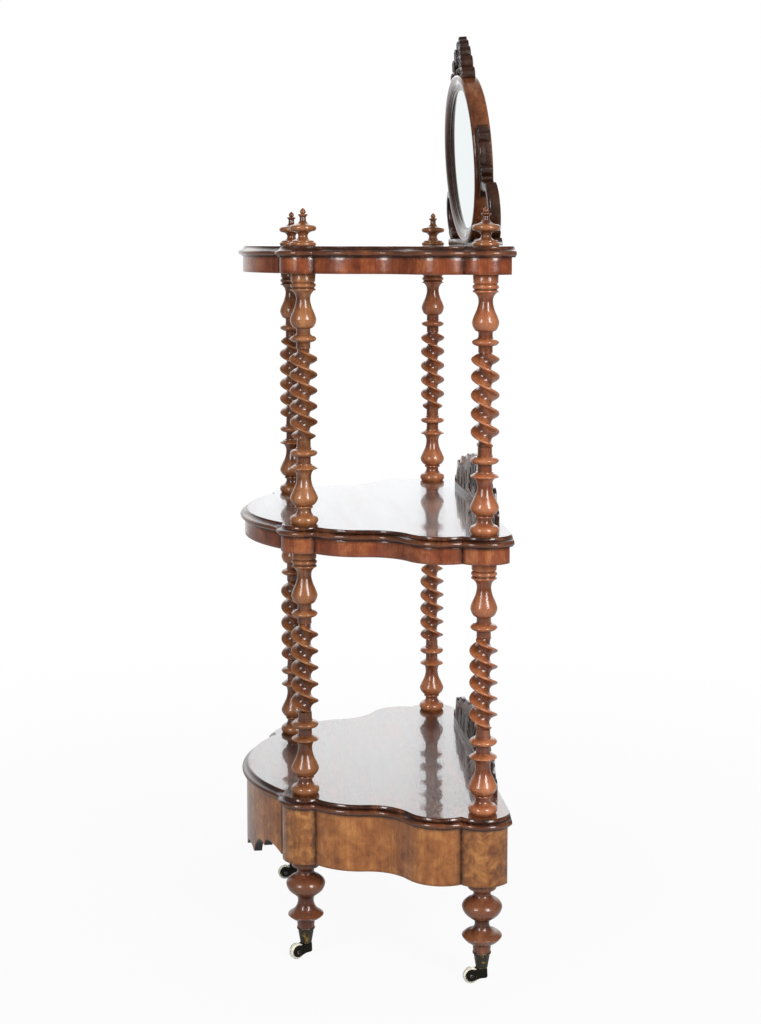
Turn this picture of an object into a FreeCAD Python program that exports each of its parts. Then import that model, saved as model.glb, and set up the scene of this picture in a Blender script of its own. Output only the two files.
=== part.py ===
import FreeCAD, Part
import math
import os

from FreeCAD import Vector

# Three-tier serpentine etagere (whatnot) with a fixed oval mirror, on castors.
# Millimetres. X runs across the width, -Y is the front, +Z is up.
# The origin is on the floor, in the middle of the plan.

os.makedirs("parts", exist_ok=True)

# ---------------------------------------------------------------- driving sizes

DEPTH = 394.0              # front of the bow's moulding to the boards' back edge
OVERHANG = 7.5             # the moulded nose stands this far outside the frieze
BACK_INSET = 6.0           # the frieze's back stands in from the boards' back edge

FRONT_POST_X = 166.0       # centre lines of the front and back columns
BACK_POST_X = 287.0
FRONT_POST_IN = 94.0       # front column's centre to the front of the nose
BACK_POST_IN = 41.0        # back column's centre to the boards' back edge

BOW_R = 252.0              # plan radii of the frieze line
FRONT_BLOCK_R = 36.0
BACK_BLOCK_R = 45.5
BACK_BLOCK_SHIFT = 10.0    # the back block's centre lies inside its column's
FLANK_R = 96.5
FLANK_FROM_POST = (-25.0, 90.0)
LOBE_R = 60.5
LOBE_FROM_POST = (-37.5, -57.4)
SCOOP_R = 71.0

BOARD_T = 16.0
FRIEZE_H = 25.0
APRON_H = 88.0
RAIL_T = 12.0
COLUMN_H = 382.0
COLUMN_R = 21.5

TENON_R = 8.0
TENON_IN_BLOCK = 8.0       # column tenons reach this far into the block below
TOP_TENON = 12.0
FINIAL_TENON_R = 5.0
GLUE_GAP = 0.1             # radial play of glued round tenons and cut joints

TWIST_STARTS = 2
TWIST_LEAD = 54.0          # one full turn of a strand
TWIST_LOW = 128.5          # heights on the column
TWIST_HIGH = 268.5
TWIST_PHASE = 56.0         # bearing of the first strand's crest at TWIST_LOW
TWIST_R = 20.3
TWIST_ROOT_R = 10.2
NECK_R = 10.8

FOOT_H = 111.5             # apron to the castor cup's rim
FOOT_R = 30.5
BELL_R = 27.8              # front feet's lower disc
FOOT_TENON = 30.0
STEM_R = 13.1

WHEEL_R = 12.3
WHEEL_W = 8.4
WHEEL_TRAIL = 17.0         # axle behind the swivel pin
CUP_H = 25.5
CUP_LIFT = 23.0            # floor to the underside of the cup
CUP_RIM_R = 13.6
CUP_TOP_R = 12.6
CUP_END_R = 8.8
CUP_RIM_H = 3.0
CUP_WALL = 1.5
CUP_FLOOR_T = 3.0
PIVOT_R = 3.0
AXLE_R = 2.2
RUN_GAP = 0.06             # radial running clearance on pins and axles
END_GAP = 0.3              # play between faces that turn past each other
CHEEK_T = 2.0
CHEEK_R = 9.2
CHEEK_LIFT = 1.4           # cheek's round stands this far above the axle
HORN_NECK_R = 7.5
TRAIL_ANGLES = {"front_left": -84.0, "front_right": -60.0,
                "back_left": -100.0, "back_right": -82.0}

MIRROR_LEAN = 4.0          # degrees, forward
MIRROR_A = 154.0           # half width and half height of the oval frame
MIRROR_B = 134.0
MIRROR_GAP = 6.0           # oval frame above the shelf
MIRROR_DEPTH = 29.0
BACKBOARD_T = 6.0
GLASS_T = 3.0
GLASS_DEEP = 8.5           # oval frame's front to the glass
SIGHT_INSET = 24.0         # oval frame's face width
REBATE_INSET = 18.5
MIRROR_BACK = 0.4          # its back plane meets the shelf this far behind the board
STAND_BACK = 5.0           # stand's back stands in front of the oval frame's back
STAND_T = 17.6
STAND_X = 222.0
BASE_RAIL_H = 13.0
CREST_H = 61.0             # above the oval frame

GALLERY_HALF = 208.0
GALLERY_H = 84.0
GALLERY_T = 7.0
GALLERY_IN = 4.5           # gallery's back face to the boards' back edge

# ---------------------------------------------------------------- derived places

BACK_Y = DEPTH / 2
FRIEZE_BACK_Y = BACK_Y - BACK_INSET
BACK_POST = (BACK_POST_X, BACK_Y - BACK_POST_IN)
FRONT_POST = (FRONT_POST_X, FRONT_POST_IN - DEPTH / 2)
BOW_CENTRE = (0.0, -DEPTH / 2 + OVERHANG + BOW_R)
FLANK_CENTRE = (FRONT_POST[0] + FLANK_FROM_POST[0], FRONT_POST[1] + FLANK_FROM_POST[1])
LOBE_CENTRE = (BACK_POST[0] + LOBE_FROM_POST[0], BACK_POST[1] + LOBE_FROM_POST[1])
BLOCK_CENTRE = (BACK_POST[0] - BACK_BLOCK_SHIFT, BACK_POST[1])

APRON_Z = CUP_LIFT + CUP_H + FOOT_H
BOARD_Z = {"bottom": APRON_Z + APRON_H}
BOARD_Z["middle"] = BOARD_Z["bottom"] + BOARD_T + COLUMN_H + FRIEZE_H
BOARD_Z["top"] = BOARD_Z["middle"] + BOARD_T + COLUMN_H + FRIEZE_H
SKIRT_H = {"bottom": APRON_H, "middle": FRIEZE_H, "top": FRIEZE_H}
TOP_FACE = BOARD_Z["top"] + BOARD_T

POSTS = {"front_left": (-FRONT_POST[0], FRONT_POST[1]),
         "front_right": FRONT_POST,
         "back_left": (-BACK_POST[0], BACK_POST[1]),
         "back_right": BACK_POST}


# ---------------------------------------------------------------- small helpers

def save(name, *solids):
    shape = solids[0] if len(solids) == 1 else Part.makeCompound(list(solids))
    shape.exportStep("parts/" + name + ".step")


def mirrored(shape):
    return shape.mirror(Vector(0, 0, 0), Vector(1, 0, 0))


def cylinder(r, z0, z1, xy=(0.0, 0.0)):
    return Part.makeCylinder(r, z1 - z0, Vector(xy[0], xy[1], z0))


def arc(p, via, q):
    return Part.Arc(Vector(*p), Vector(*via), Vector(*q)).toShape()


def line(p, q):
    return Part.LineSegment(Vector(*p), Vector(*q)).toShape()


def path(points, plane="XZ"):
    """Closed face from corner points; a point marked "via" bends the edge through it."""
    def lift(p):
        return (p[0], 0.0, p[1]) if plane == "XZ" else (p[0], p[1], 0.0)
    edges = []
    corner = lift(points[0])
    bend = None
    for item in points[1:] + points[:1]:
        if item[0] == "via":
            bend = lift(item[1:])
            continue
        corner_2 = lift(item)
        edges.append(arc(corner, bend, corner_2) if bend else line(corner, corner_2))
        corner = corner_2
        bend = None
    return Part.Face(Part.Wire(edges))


def on_circle(centre, r, degrees):
    a = math.radians(degrees)
    return (centre[0] + r * math.cos(a), centre[1] + r * math.sin(a))


def bearing(centre, p):
    return math.degrees(math.atan2(p[1] - centre[1], p[0] - centre[0]))


def meet(c1, r1, c2, r2, side):
    """Where two circles cross; side 1 is left of the line from c1 to c2."""
    dx, dy = c2[0] - c1[0], c2[1] - c1[1]
    d = math.hypot(dx, dy)
    along = (r1 * r1 - r2 * r2 + d * d) / (2 * d)
    off = side * math.sqrt(r1 * r1 - along * along)
    return (c1[0] + (along * dx - off * dy) / d, c1[1] + (along * dy + off * dx) / d)


def toward(centre, target, r):
    return on_circle(centre, r, bearing(centre, target))


# ---------------------------------------------------------------- plan outline

SCOOP_CENTRE = meet(FLANK_CENTRE, FLANK_R + SCOOP_R, LOBE_CENTRE, LOBE_R + SCOOP_R, -1)


def right_side(grow):
    """Arcs of the right half of the plan, front to back, grown outward: (centre, r, start, end)."""
    bow, block, back = BOW_R + grow, FRONT_BLOCK_R + grow, BACK_BLOCK_R + grow
    flank, lobe, scoop = FLANK_R + grow, LOBE_R + grow, SCOOP_R - grow
    front_valley = meet(BOW_CENTRE, bow, FRONT_POST, block, -1)
    side_valley = meet(FRONT_POST, block, FLANK_CENTRE, flank, -1)
    back_valley = meet(LOBE_CENTRE, lobe, BLOCK_CENTRE, back, -1)
    return [
        (BOW_CENTRE, bow, (0.0, BOW_CENTRE[1] - bow), front_valley),
        (FRONT_POST, block, front_valley, side_valley),
        (FLANK_CENTRE, flank, side_valley, toward(FLANK_CENTRE, SCOOP_CENTRE, flank)),
        (SCOOP_CENTRE, scoop, toward(SCOOP_CENTRE, FLANK_CENTRE, scoop),
         toward(SCOOP_CENTRE, LOBE_CENTRE, scoop)),
        (LOBE_CENTRE, lobe, toward(LOBE_CENTRE, SCOOP_CENTRE, lobe), back_valley),
        (BLOCK_CENTRE, back, back_valley, None),
    ]


def plan_wire(grow, z, back_y):
    """Whole plan outline at height z, closed by a straight back edge at back_y."""
    def edge(centre, r, p, q, flip):
        a, b = bearing(centre, p), bearing(centre, q)
        turn = (b - a + 180.0) % 360.0 - 180.0
        via = on_circle(centre, r, a + turn / 2)
        ends = [(x * flip, y, z) for x, y in (p, via, q)]
        return arc(*(ends if flip > 0 else ends[::-1]))

    arcs = right_side(grow)
    centre, r, start, _ = arcs[-1]
    corner = (centre[0] + math.sqrt(r * r - (back_y - centre[1]) ** 2), back_y)
    arcs[-1] = (centre, r, start, corner)
    right = [edge(*a, 1) for a in arcs]
    left = [edge(*a, -1) for a in reversed(arcs)]
    back = line((corner[0], back_y, z), (-corner[0], back_y, z))
    return Part.Wire(right + [back] + left)


# ---------------------------------------------------------------- shelf boards

# Edge moulding from the underside up: fraction of the board's thickness, and growth
# outside the frieze line. Fillet, torus nose, cove, quirk.
NOSE = OVERHANG
EDGE = [(0.00, 2.6), (0.09, 2.6), (0.12, 4.6), (0.22, NOSE - 0.9), (0.36, NOSE),
        (0.50, NOSE - 0.9), (0.60, 4.6), (0.62, 3.0), (0.70, 0.9), (0.80, -0.7),
        (0.92, -1.5), (0.93, -2.6), (1.00, -2.6)]


def shelf_board(tier):
    z = BOARD_Z[tier]
    rows = [plan_wire(grow, z + t * BOARD_T, BACK_Y) for t, grow in EDGE]
    board = Part.makeLoft(rows, True, True)
    r = TENON_R if tier != "top" else FINIAL_TENON_R
    for xy in POSTS.values():
        board = board.cut(cylinder(r + GLUE_GAP, z - 1, z + BOARD_T + 1, xy))
    return board


# ---------------------------------------------------------------- aprons and friezes

def block_prism(front, z0, z1, grow=0.0):
    if front:
        return cylinder(FRONT_BLOCK_R + grow, z0, z1, FRONT_POST)
    block = cylinder(BACK_BLOCK_R + grow, z0, z1, BLOCK_CENTRE)
    behind = Part.makeBox(4 * BACK_BLOCK_R, 2 * BACK_BLOCK_R, z1 - z0,
                          Vector(BLOCK_CENTRE[0] - 2 * BACK_BLOCK_R, FRIEZE_BACK_Y, z0))
    return block.cut(behind)


def corner_blocks(tier):
    """Four rounded blocks under a board, bored for the tenons above and below."""
    z1 = BOARD_Z[tier]
    z0 = z1 - SKIRT_H[tier]
    above = TENON_R if tier != "top" else FINIAL_TENON_R
    below_depth = FOOT_TENON if tier == "bottom" else TOP_TENON
    blocks = []
    for front, post in ((True, FRONT_POST), (False, BACK_POST)):
        block = block_prism(front, z0, z1)
        block = block.cut(cylinder(above + GLUE_GAP, z1 - TENON_IN_BLOCK - GLUE_GAP, z1 + 1, post))
        block = block.cut(cylinder(TENON_R + GLUE_GAP, z0 - 1, z0 + below_depth + GLUE_GAP, post))
        blocks += [block, mirrored(block)]
    return blocks


def cut_for_blocks(rail, z0, z1):
    for front in (True, False):
        block = block_prism(front, z0 - 1, z1 + 1, GLUE_GAP)
        rail = rail.cut(block).cut(mirrored(block))
    return max(rail.Solids, key=lambda s: s.Volume)


def side_rail(tier):
    """Serpentine rail from the front block to the back block, on the right."""
    z1 = BOARD_Z[tier]
    height = SKIRT_H[tier]
    z0 = z1 - height
    outer, inner = right_side(0.0), right_side(-RAIL_T)
    _, _, _, flank_end = outer[2]
    _, _, _, flank_end_in = inner[2]
    flank_start = bearing(FLANK_CENTRE, FRONT_POST)
    lobe_end = bearing(LOBE_CENTRE, BLOCK_CENTRE)

    def curve(centre, r, a, b):
        p, via, q = (on_circle(centre, r, d) for d in (a, (a + b) / 2, b))
        return arc((*p, z0), (*via, z0), (*q, z0))

    def chain(arcs, flank_stop):
        scoop_a = bearing(SCOOP_CENTRE, arcs[3][2]) % 360.0
        scoop_b = bearing(SCOOP_CENTRE, arcs[3][3]) % 360.0
        return [curve(FLANK_CENTRE, arcs[2][1], flank_start, bearing(FLANK_CENTRE, flank_stop)),
                curve(SCOOP_CENTRE, arcs[3][1], scoop_a, scoop_b),
                curve(LOBE_CENTRE, arcs[4][1], bearing(LOBE_CENTRE, arcs[4][2]), lobe_end)]

    out_edges, in_edges = chain(outer, flank_end), chain(inner, flank_end_in)
    starts = [on_circle(FLANK_CENTRE, FLANK_R - t, flank_start) for t in (0, RAIL_T)]
    ends = [on_circle(LOBE_CENTRE, LOBE_R - t, lobe_end) for t in (0, RAIL_T)]
    caps = [line((*ends[0], z0), (*ends[1], z0)), line((*starts[1], z0), (*starts[0], z0))]
    wire = Part.Wire(Part.__sortEdges__(out_edges + [caps[0]] + in_edges + [caps[1]]))
    rail = Part.Face(wire).extrude(Vector(0, 0, height))
    return cut_for_blocks(rail, z0, z1)


def front_rail(tier):
    """Bowed rail between the front blocks; the apron's lower edge is scalloped."""
    z1 = BOARD_Z[tier]
    drop = CENTRE_DROP if tier == "bottom" else 0.0
    z0 = z1 - SKIRT_H[tier] - drop
    reach = 90.0 + bearing(BOW_CENTRE, FRONT_POST)
    disc = Part.makeCylinder(BOW_R, z1 - z0, Vector(*BOW_CENTRE, z0), Vector(0, 0, 1), 2 * reach)
    disc.rotate(Vector(*BOW_CENTRE, 0), Vector(0, 0, 1), -90.0 - reach)
    rail = disc.cut(cylinder(BOW_R - RAIL_T, z0 - 1, z1 + 1, BOW_CENTRE))
    if tier == "bottom":
        rail = rail.cut(scallop_cutter(z1 - SKIRT_H[tier]))
    return cut_for_blocks(rail, z0, z1)


def back_rail(tier):
    z1 = BOARD_Z[tier]
    height = SKIRT_H[tier]
    rail = Part.makeBox(2 * BLOCK_CENTRE[0], RAIL_T, height,
                        Vector(-BLOCK_CENTRE[0], FRIEZE_BACK_Y - RAIL_T, z1 - height))
    return cut_for_blocks(rail, z1 - height, z1)


# Lower edge of the front apron, right of its middle: distance across and height over
# the apron's general underside. The middle pendant hangs lowest.
CENTRE_DROP = 32.0
SCALLOP = [("via", 10.0, -30.0), (15.0, -25.0), ("via", 28.0, -17.0), (46.0, -17.0),
           ("via", 57.0, -18.5), (64.0, -23.0), (68.0, -23.0), ("via", 76.0, -7.0), (88.0, 4.0),
           ("via", 99.0, 5.0), (107.0, 0.0), ("via", 110.0, 8.0), (118.0, 13.0),
           ("via", 133.0, 10.0), (150.0, 0.0)]


def scallop_cutter(z):
    """Solid below the apron's shaped edge, deep enough to pass through the bow."""
    right = SCALLOP
    flipped = [("via", -p[1], p[2]) if p[0] == "via" else (-p[0], p[1]) for p in reversed(right)]
    low = -2 * CENTRE_DROP
    points = [(FRONT_POST[0], low), (-FRONT_POST[0], low), (-FRONT_POST[0], 0.0)]
    points += flipped + [(0.0, -CENTRE_DROP)] + right + [(FRONT_POST[0], 0.0)]
    face = path(points)
    face.translate(Vector(0, -DEPTH, z))
    return face.extrude(Vector(0, DEPTH, 0))


# ---------------------------------------------------------------- turnings

def turned(steps):
    """Solid turned about Z. Steps are (radius, z) points; a step marked "arc" or "curve"
    reaches its last point through the ones before it."""
    at = (0.0, steps[0][1])
    edges = []
    for step in list(steps) + [(0.0, steps[-1][-1] if steps[-1][0] not in ("arc", "curve")
                                else steps[-1][-1][1])]:
        if step[0] == "arc":
            edges.append(arc(*((r, 0.0, z) for r, z in (at,) + step[1:])))
            at = step[-1]
        elif step[0] == "curve":
            spline = Part.BSplineCurve()
            spline.interpolate([Vector(r, 0, z) for r, z in (at,) + step[1:]])
            edges.append(spline.toShape())
            at = step[-1]
        else:
            edges.append(line((at[0], 0.0, at[1]), (step[0], 0.0, step[1])))
            at = step
    edges.append(line((0.0, 0.0, at[1]), (0.0, 0.0, steps[0][1])))
    return Part.Face(Part.Wire(edges)).revolve(Vector(0, 0, 0), Vector(0, 0, 1), 360)


def strand_radius(w, size):
    """Radius from the groove's middle (w = 0) to the strand's crest (w = 1)."""
    half_pitch = TWIST_LEAD / TWIST_STARTS / 2
    rise = TWIST_R - TWIST_ROOT_R
    hollow = 0.89 * half_pitch
    cove = (hollow ** 2 + rise ** 2) / (2 * rise)
    reach = min(w / 0.89, 1.0) * hollow
    r = rise if w >= 0.89 else cove - math.sqrt(cove ** 2 - reach ** 2)
    return TWIST_ROOT_R + size * r


def twist():
    """Two-start left-hand barley twist: narrow rounded strands with hollows between,
    running out into the necks."""
    run = TWIST_HIGH - TWIST_LOW
    count = round(run / TWIST_LEAD * 15)
    fade = 11.0
    rows = []
    for i in range(count + 1):
        z = TWIST_LOW + run * i / count
        ease = min(1.0, (run / 2 - abs(z - TWIST_LOW - run / 2)) / fade)
        size = 0.06 + 0.94 * math.sin(ease * math.pi / 2)
        turn = TWIST_PHASE - 360.0 * (z - TWIST_LOW) / TWIST_LEAD
        strands = []
        for strand in range(TWIST_STARTS):
            span = 180.0 / TWIST_STARTS
            points = []
            for w in (0.0, 0.22, 0.44, 0.64, 0.78, 0.87, 0.94, 1.0):
                points.append((w, strand_radius(w, size)))
            half = [((w - 1.0) * span, r) for w, r in points]
            both = half + [(-a, r) for a, r in reversed(half[:-1])]
            middle = turn + strand * 2 * span
            curve = Part.BSplineCurve()
            curve.interpolate([Vector(*on_circle((0.0, 0.0), r, middle + a), z) for a, r in both])
            strands.append(curve.toShape())
        rows.append(Part.Wire(strands))
    return Part.makeLoft(rows, True, False)


def column():
    """One column, tenon to tenon, standing on z = 0."""
    n = NECK_R
    r = COLUMN_R
    low = turned([
        (TENON_R, -BOARD_T - TENON_IN_BLOCK), (TENON_R, 0.0),
        (19.0, 0.0), (19.6, 1.0), ("arc", (r + 0.5, 6.5), (18.6, 12.5)), (16.8, 13.2),
        ("arc", (n + 1.2, 17.0), (n + 0.6, 24.6)), (13.3, 24.8), ("arc", (13.8, 26.2), (13.3, 27.6)),
        (n + 1.4, 27.8), ("curve", (17.6, 31.4), (r, 39.6), (18.2, 49.0), (13.0, 60.0),
                          (n + 0.2, 71.0), (12.3, 79.0), (16.4, 84.4)),
        (r - 1.3, 84.8), ("arc", (r - 0.5, 86.0), (r - 1.5, 87.2)),
        ("arc", (15.6, 90.2), (13.0, 91.4)), (12.8, 92.8), (n, 93.0), (n - 0.2, 100.0), (n, 104.0),
        (13.6, 104.2), ("curve", (18.2, 105.8), (r - 0.5, 109.7), (18.2, 113.4), (13.6, 115.2)),
        (n + 1.0, 115.4), (n + 1.0, 117.6), (n, 118.2), (n - 0.2, 126.0), (n, TWIST_LOW)])
    high = turned([
        (n, TWIST_HIGH), (n - 0.2, 272.0), (n, 277.6), (13.2, 278.0),
        ("curve", (17.6, 280.0), (r - 1.3, 283.4), (17.6, 286.8), (13.2, 288.6)), (n + 1.4, 289.0),
        (n, 291.0), (n - 0.2, 297.0), (n + 0.8, 299.0),
        ("curve", (16.4, 301.8), (r - 1.4, 311.2), (18.0, 320.0), (13.6, 330.0), (n, 341.0),
         (11.8, 349.6), (16.6, 355.8)),
        (18.4, 356.2), ("arc", (19.3, 357.6), (17.6, 359.0)), (16.8, 360.4), (17.8, 361.2),
        ("arc", (19.5, 364.2), (17.8, 367.0)), (16.8, 367.6), (17.2, 368.8), (18.5, 370.0),
        (18.8, 380.6), (18.2, COLUMN_H), (TENON_R, COLUMN_H), (TENON_R, COLUMN_H + TOP_TENON)])
    return low.fuse([twist(), high])


def finial():
    """Turned finial standing on z = 0."""
    return turned([
        (FINIAL_TENON_R, -BOARD_T - TENON_IN_BLOCK), (FINIAL_TENON_R, 0.0),
        (18.4, 0.0), ("arc", (20.3, 3.0), (18.6, 5.8)), (16.8, 6.2), ("arc", (16.4, 8.0), (14.6, 8.6)),
        ("curve", (9.4, 11.0), (7.2, 15.0), (9.0, 19.4), (14.0, 22.0)), (17.4, 22.6),
        ("arc", (20.6, 27.0), (17.6, 31.2)), (15.0, 31.8), ("curve", (8.4, 34.4), (5.0, 38.0)),
        (4.7, 43.4), (6.4, 45.4), ("arc", (7.4, 46.8), (6.2, 48.0)), (3.2, 48.4),
        ("curve", (4.5, 51.2), (3.4, 54.4), (0.9, 56.8))])


def foot(front):
    """Turned foot; its foot end is z = 0 and it enters the castor cup. The front feet
    have a hollow bell where the back feet have a round-shouldered disc."""
    top = FOOT_H + CUP_H - CUP_FLOOR_T

    def down(r, drop):
        return (r, top - drop)
    wall = CUP_WALL + GLUE_GAP
    if front:
        disc = [down(STEM_R + 1.0, 98.6), ("arc", down(21.0, 96.4), down(BELL_R - 0.7, 91.4)),
                ("arc", down(BELL_R, 90.4), down(BELL_R - 0.9, 89.6)),
                ("curve", down(20.4, 84.8), down(15.4, 79.0), down(12.6, 71.4), down(12.8, 64.6),
                 down(15.4, 59.2))]
    else:
        disc = [down(STEM_R + 1.0, 98.4), ("arc", down(23.2, 94.6), down(FOOT_R - 1.0, 87.6)),
                ("arc", down(FOOT_R - 0.2, 86.0), down(FOOT_R - 1.2, 84.6)),
                ("curve", down(24.6, 80.8), down(15.8, 77.4), down(11.6, 71.0), down(11.4, 64.4),
                 down(13.6, 59.8))]
    return turned([(CUP_END_R - wall, 0.0), (CUP_TOP_R - wall, CUP_H - CUP_FLOOR_T),
                   (STEM_R, CUP_H - CUP_FLOOR_T)] + disc + [
        down(17.6, 58.6), ("curve", down(26.6, 50.6), down(FOOT_R, 41.2), down(28.0, 34.8),
                           down(22.8, 30.2)),
        down(21.4, 29.6), ("curve", down(17.0, 27.0), down(13.4, 22.8), down(13.6, 18.0),
                           down(18.0, 13.4)),
        down(21.0, 12.4), ("arc", down(22.4, 7.6), down(21.0, 2.6)), down(19.8, 1.8), down(19.8, 0.0),
        down(TENON_R, 0.0), down(TENON_R, -FOOT_TENON)])


# ---------------------------------------------------------------- castors
# Each is modelled with its swivel pin on the Z axis, trailing along +X, on the floor.

HORN_TOP = CUP_LIFT - END_GAP
HEAD_R = PIVOT_R + 0.9
HEAD_T = 1.6
HORN_LOW = 8.0             # underside of the horn below the pin
HEAD_POCKET = HEAD_T + 2 * END_GAP
SLOT_W = WHEEL_W + 2 * END_GAP
SLOT_R = WHEEL_R + 1.0


def castor_cup():
    """Brass cup on the foot's end, with the riveted swivel pin below it."""
    z0 = CUP_LIFT
    cup = turned([
        (CUP_END_R, z0), (CUP_TOP_R, z0 + CUP_H - CUP_RIM_H), (CUP_RIM_R, z0 + CUP_H - CUP_RIM_H),
        ("arc", (CUP_RIM_R + 0.5, z0 + CUP_H - CUP_RIM_H / 2), (CUP_RIM_R, z0 + CUP_H))])
    inside = turned([
        (CUP_END_R - CUP_WALL, z0 + CUP_FLOOR_T), (CUP_TOP_R - CUP_WALL, z0 + CUP_H),
        (CUP_TOP_R - CUP_WALL, z0 + CUP_H + 1)])
    pin_low = HORN_LOW + HEAD_POCKET - END_GAP
    pin = cylinder(PIVOT_R, pin_low, z0 + 1)
    head = cylinder(HEAD_R, pin_low - HEAD_T, pin_low)
    return cup.cut(inside).fuse([pin, head])


def castor_horn():
    """Forked horn: a neck round the pin and two cheeks that hold the axle."""
    neck = HORN_NECK_R
    eye = (WHEEL_TRAIL, WHEEL_R + CHEEK_LIFT)
    low, out, high = (on_circle(eye, CHEEK_R, d) for d in (-112.0, 0.0, 104.0))
    profile = path([(-neck, HORN_LOW + 2.6), ("via", -neck + 1.0, HORN_LOW + 0.9),
                    (-neck + 3.0, HORN_LOW), (0.5 * neck, HORN_LOW), low, ("via", *out), high,
                    ("via", 0.5 * (neck + high[0]), HORN_TOP - 0.9), (neck - 1.5, HORN_TOP),
                    (-neck + 0.6, HORN_TOP)])
    width = SLOT_W + 2 * CHEEK_T
    profile.translate(Vector(0, -width / 2, 0))
    horn = profile.extrude(Vector(0, width, 0))
    slot = Part.makeCylinder(SLOT_R, SLOT_W, Vector(WHEEL_TRAIL, -SLOT_W / 2, WHEEL_R), Vector(0, 1, 0))
    axle_hole = Part.makeCylinder(AXLE_R + RUN_GAP, 2 * width, Vector(WHEEL_TRAIL, -width, WHEEL_R),
                                  Vector(0, 1, 0))
    pin_hole = cylinder(PIVOT_R + RUN_GAP, 0.0, HORN_TOP + 1)
    pocket = cylinder(HEAD_R + END_GAP, 0.0, HORN_LOW + HEAD_POCKET)
    return horn.cut(slot).cut(axle_hole).cut(pin_hole).cut(pocket)


def castor_axle():
    """Riveted axle with a head outside each cheek."""
    half = SLOT_W / 2 + CHEEK_T
    head_r = AXLE_R + 1.4
    head_t = 1.0
    gap = 0.05
    axle = turned([(head_r, -half - gap - head_t), (head_r, -half - gap), (AXLE_R, -half - gap),
                   (AXLE_R, half + gap), (head_r, half + gap), (head_r, half + gap + head_t)])
    axle.rotate(Vector(0, 0, 0), Vector(1, 0, 0), 90)
    axle.translate(Vector(WHEEL_TRAIL, 0, WHEEL_R))
    return axle


def castor_wheel():
    """Ceramic wheel with a rounded tread and dished faces."""
    half = WHEEL_W / 2
    hub_r = AXLE_R + 2.2
    wheel = turned([
        (hub_r, -half), (hub_r + 1.4, -half + 0.8), (WHEEL_R - 3.2, -half + 0.8),
        (WHEEL_R - 2.4, -half), ("arc", (WHEEL_R - 0.7, -half + 0.8), (WHEEL_R, -half + 2.8)),
        (WHEEL_R, half - 2.8), ("arc", (WHEEL_R - 0.7, half - 0.8), (WHEEL_R - 2.4, half)),
        (WHEEL_R - 3.2, half - 0.8), (hub_r + 1.4, half - 0.8), (hub_r, half)])
    wheel = wheel.cut(cylinder(AXLE_R + RUN_GAP, -half - 1, half + 1))
    wheel.rotate(Vector(0, 0, 0), Vector(1, 0, 0), 90)
    wheel.translate(Vector(WHEEL_TRAIL, 0, WHEEL_R))
    return wheel


# ---------------------------------------------------------------- mirror
# Modelled upright, back face on y = 0 and front towards -Y, shelf at z = 0; then leaned.

GLASS_FRONT = MIRROR_DEPTH - GLASS_DEEP


def oval_wire(inset, y):
    centre = Vector(0, y, MIRROR_GAP + MIRROR_B)
    oval = Part.Ellipse(centre + Vector(MIRROR_A - inset, 0, 0),
                        centre + Vector(0, 0, MIRROR_B - inset), centre)
    return Part.Wire(oval.toShape())


def oval_stack(rows):
    """Solid through ovals given as (inset from the outer edge, distance forward)."""
    return Part.makeLoft([oval_wire(inset, -forward) for inset, forward in rows], True, True)


def mirror_frame():
    """Oval frame: deep side band, cushion front, cove down to the glass, rebated behind."""
    d = MIRROR_DEPTH
    body = oval_stack([(1.0, 0.0), (0.0, 1.2), (0.0, d - 5.0), (0.8, d - 2.6), (2.6, d - 0.9), (5.5, d)])
    opening = oval_stack([
        (SIGHT_INSET, GLASS_FRONT - 0.5), (SIGHT_INSET, d - 7.6), (SIGHT_INSET - 2.0, d - 7.4),
        (SIGHT_INSET - 4.2, d - 5.8), (SIGHT_INSET - 5.4, d - 3.4), (SIGHT_INSET - 5.8, d - 2.2),
        (SIGHT_INSET - 7.4, d - 2.0), (SIGHT_INSET - 8.4, d - 0.9), (SIGHT_INSET - 12.0, d - 0.2),
        (6.5, d), (6.5, d + 1.0)])
    seat = oval_stack([(REBATE_INSET, -1.0), (REBATE_INSET, GLASS_FRONT)])
    return body.cut(opening).cut(seat)


def mirror_glass():
    return oval_stack([(REBATE_INSET + GLUE_GAP, GLASS_FRONT - GLASS_T),
                       (REBATE_INSET + GLUE_GAP, GLASS_FRONT)])


def mirror_backboard():
    front = GLASS_FRONT - GLASS_T
    return oval_stack([(REBATE_INSET + GLUE_GAP, front - BACKBOARD_T),
                       (REBATE_INSET + GLUE_GAP, front)])


def slab(face, y_back, thickness):
    """Face in the XZ plane made a board whose back is y_back."""
    face = face.copy()
    face.translate(Vector(0, y_back, 0))
    return face.extrude(Vector(0, -thickness, 0))


def disc(x, z, r, y_back, thickness):
    return Part.makeCylinder(r, thickness, Vector(x, y_back, z), Vector(0, -1, 0))


def c_scroll(centre, r_out, r_in, a, b):
    """Face of a C-shaped strip in the XZ plane from bearing a to b."""
    outer = [on_circle(centre, r_out, d) for d in (a, (a + b) / 2, b)]
    inner = [on_circle(centre, r_in, d) for d in (b, (a + b) / 2, a)]
    return path([outer[0], ("via", *outer[1]), outer[2], inner[0], ("via", *inner[1]), inner[2]])


def clear_of_frame(shape):
    """Cuts the oval frame's outline away, so that the piece seats against its side."""
    frame = oval_stack([(-GLUE_GAP, -1.0), (-GLUE_GAP, MIRROR_DEPTH + 1.0)])
    return shape.cut(frame)


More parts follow.
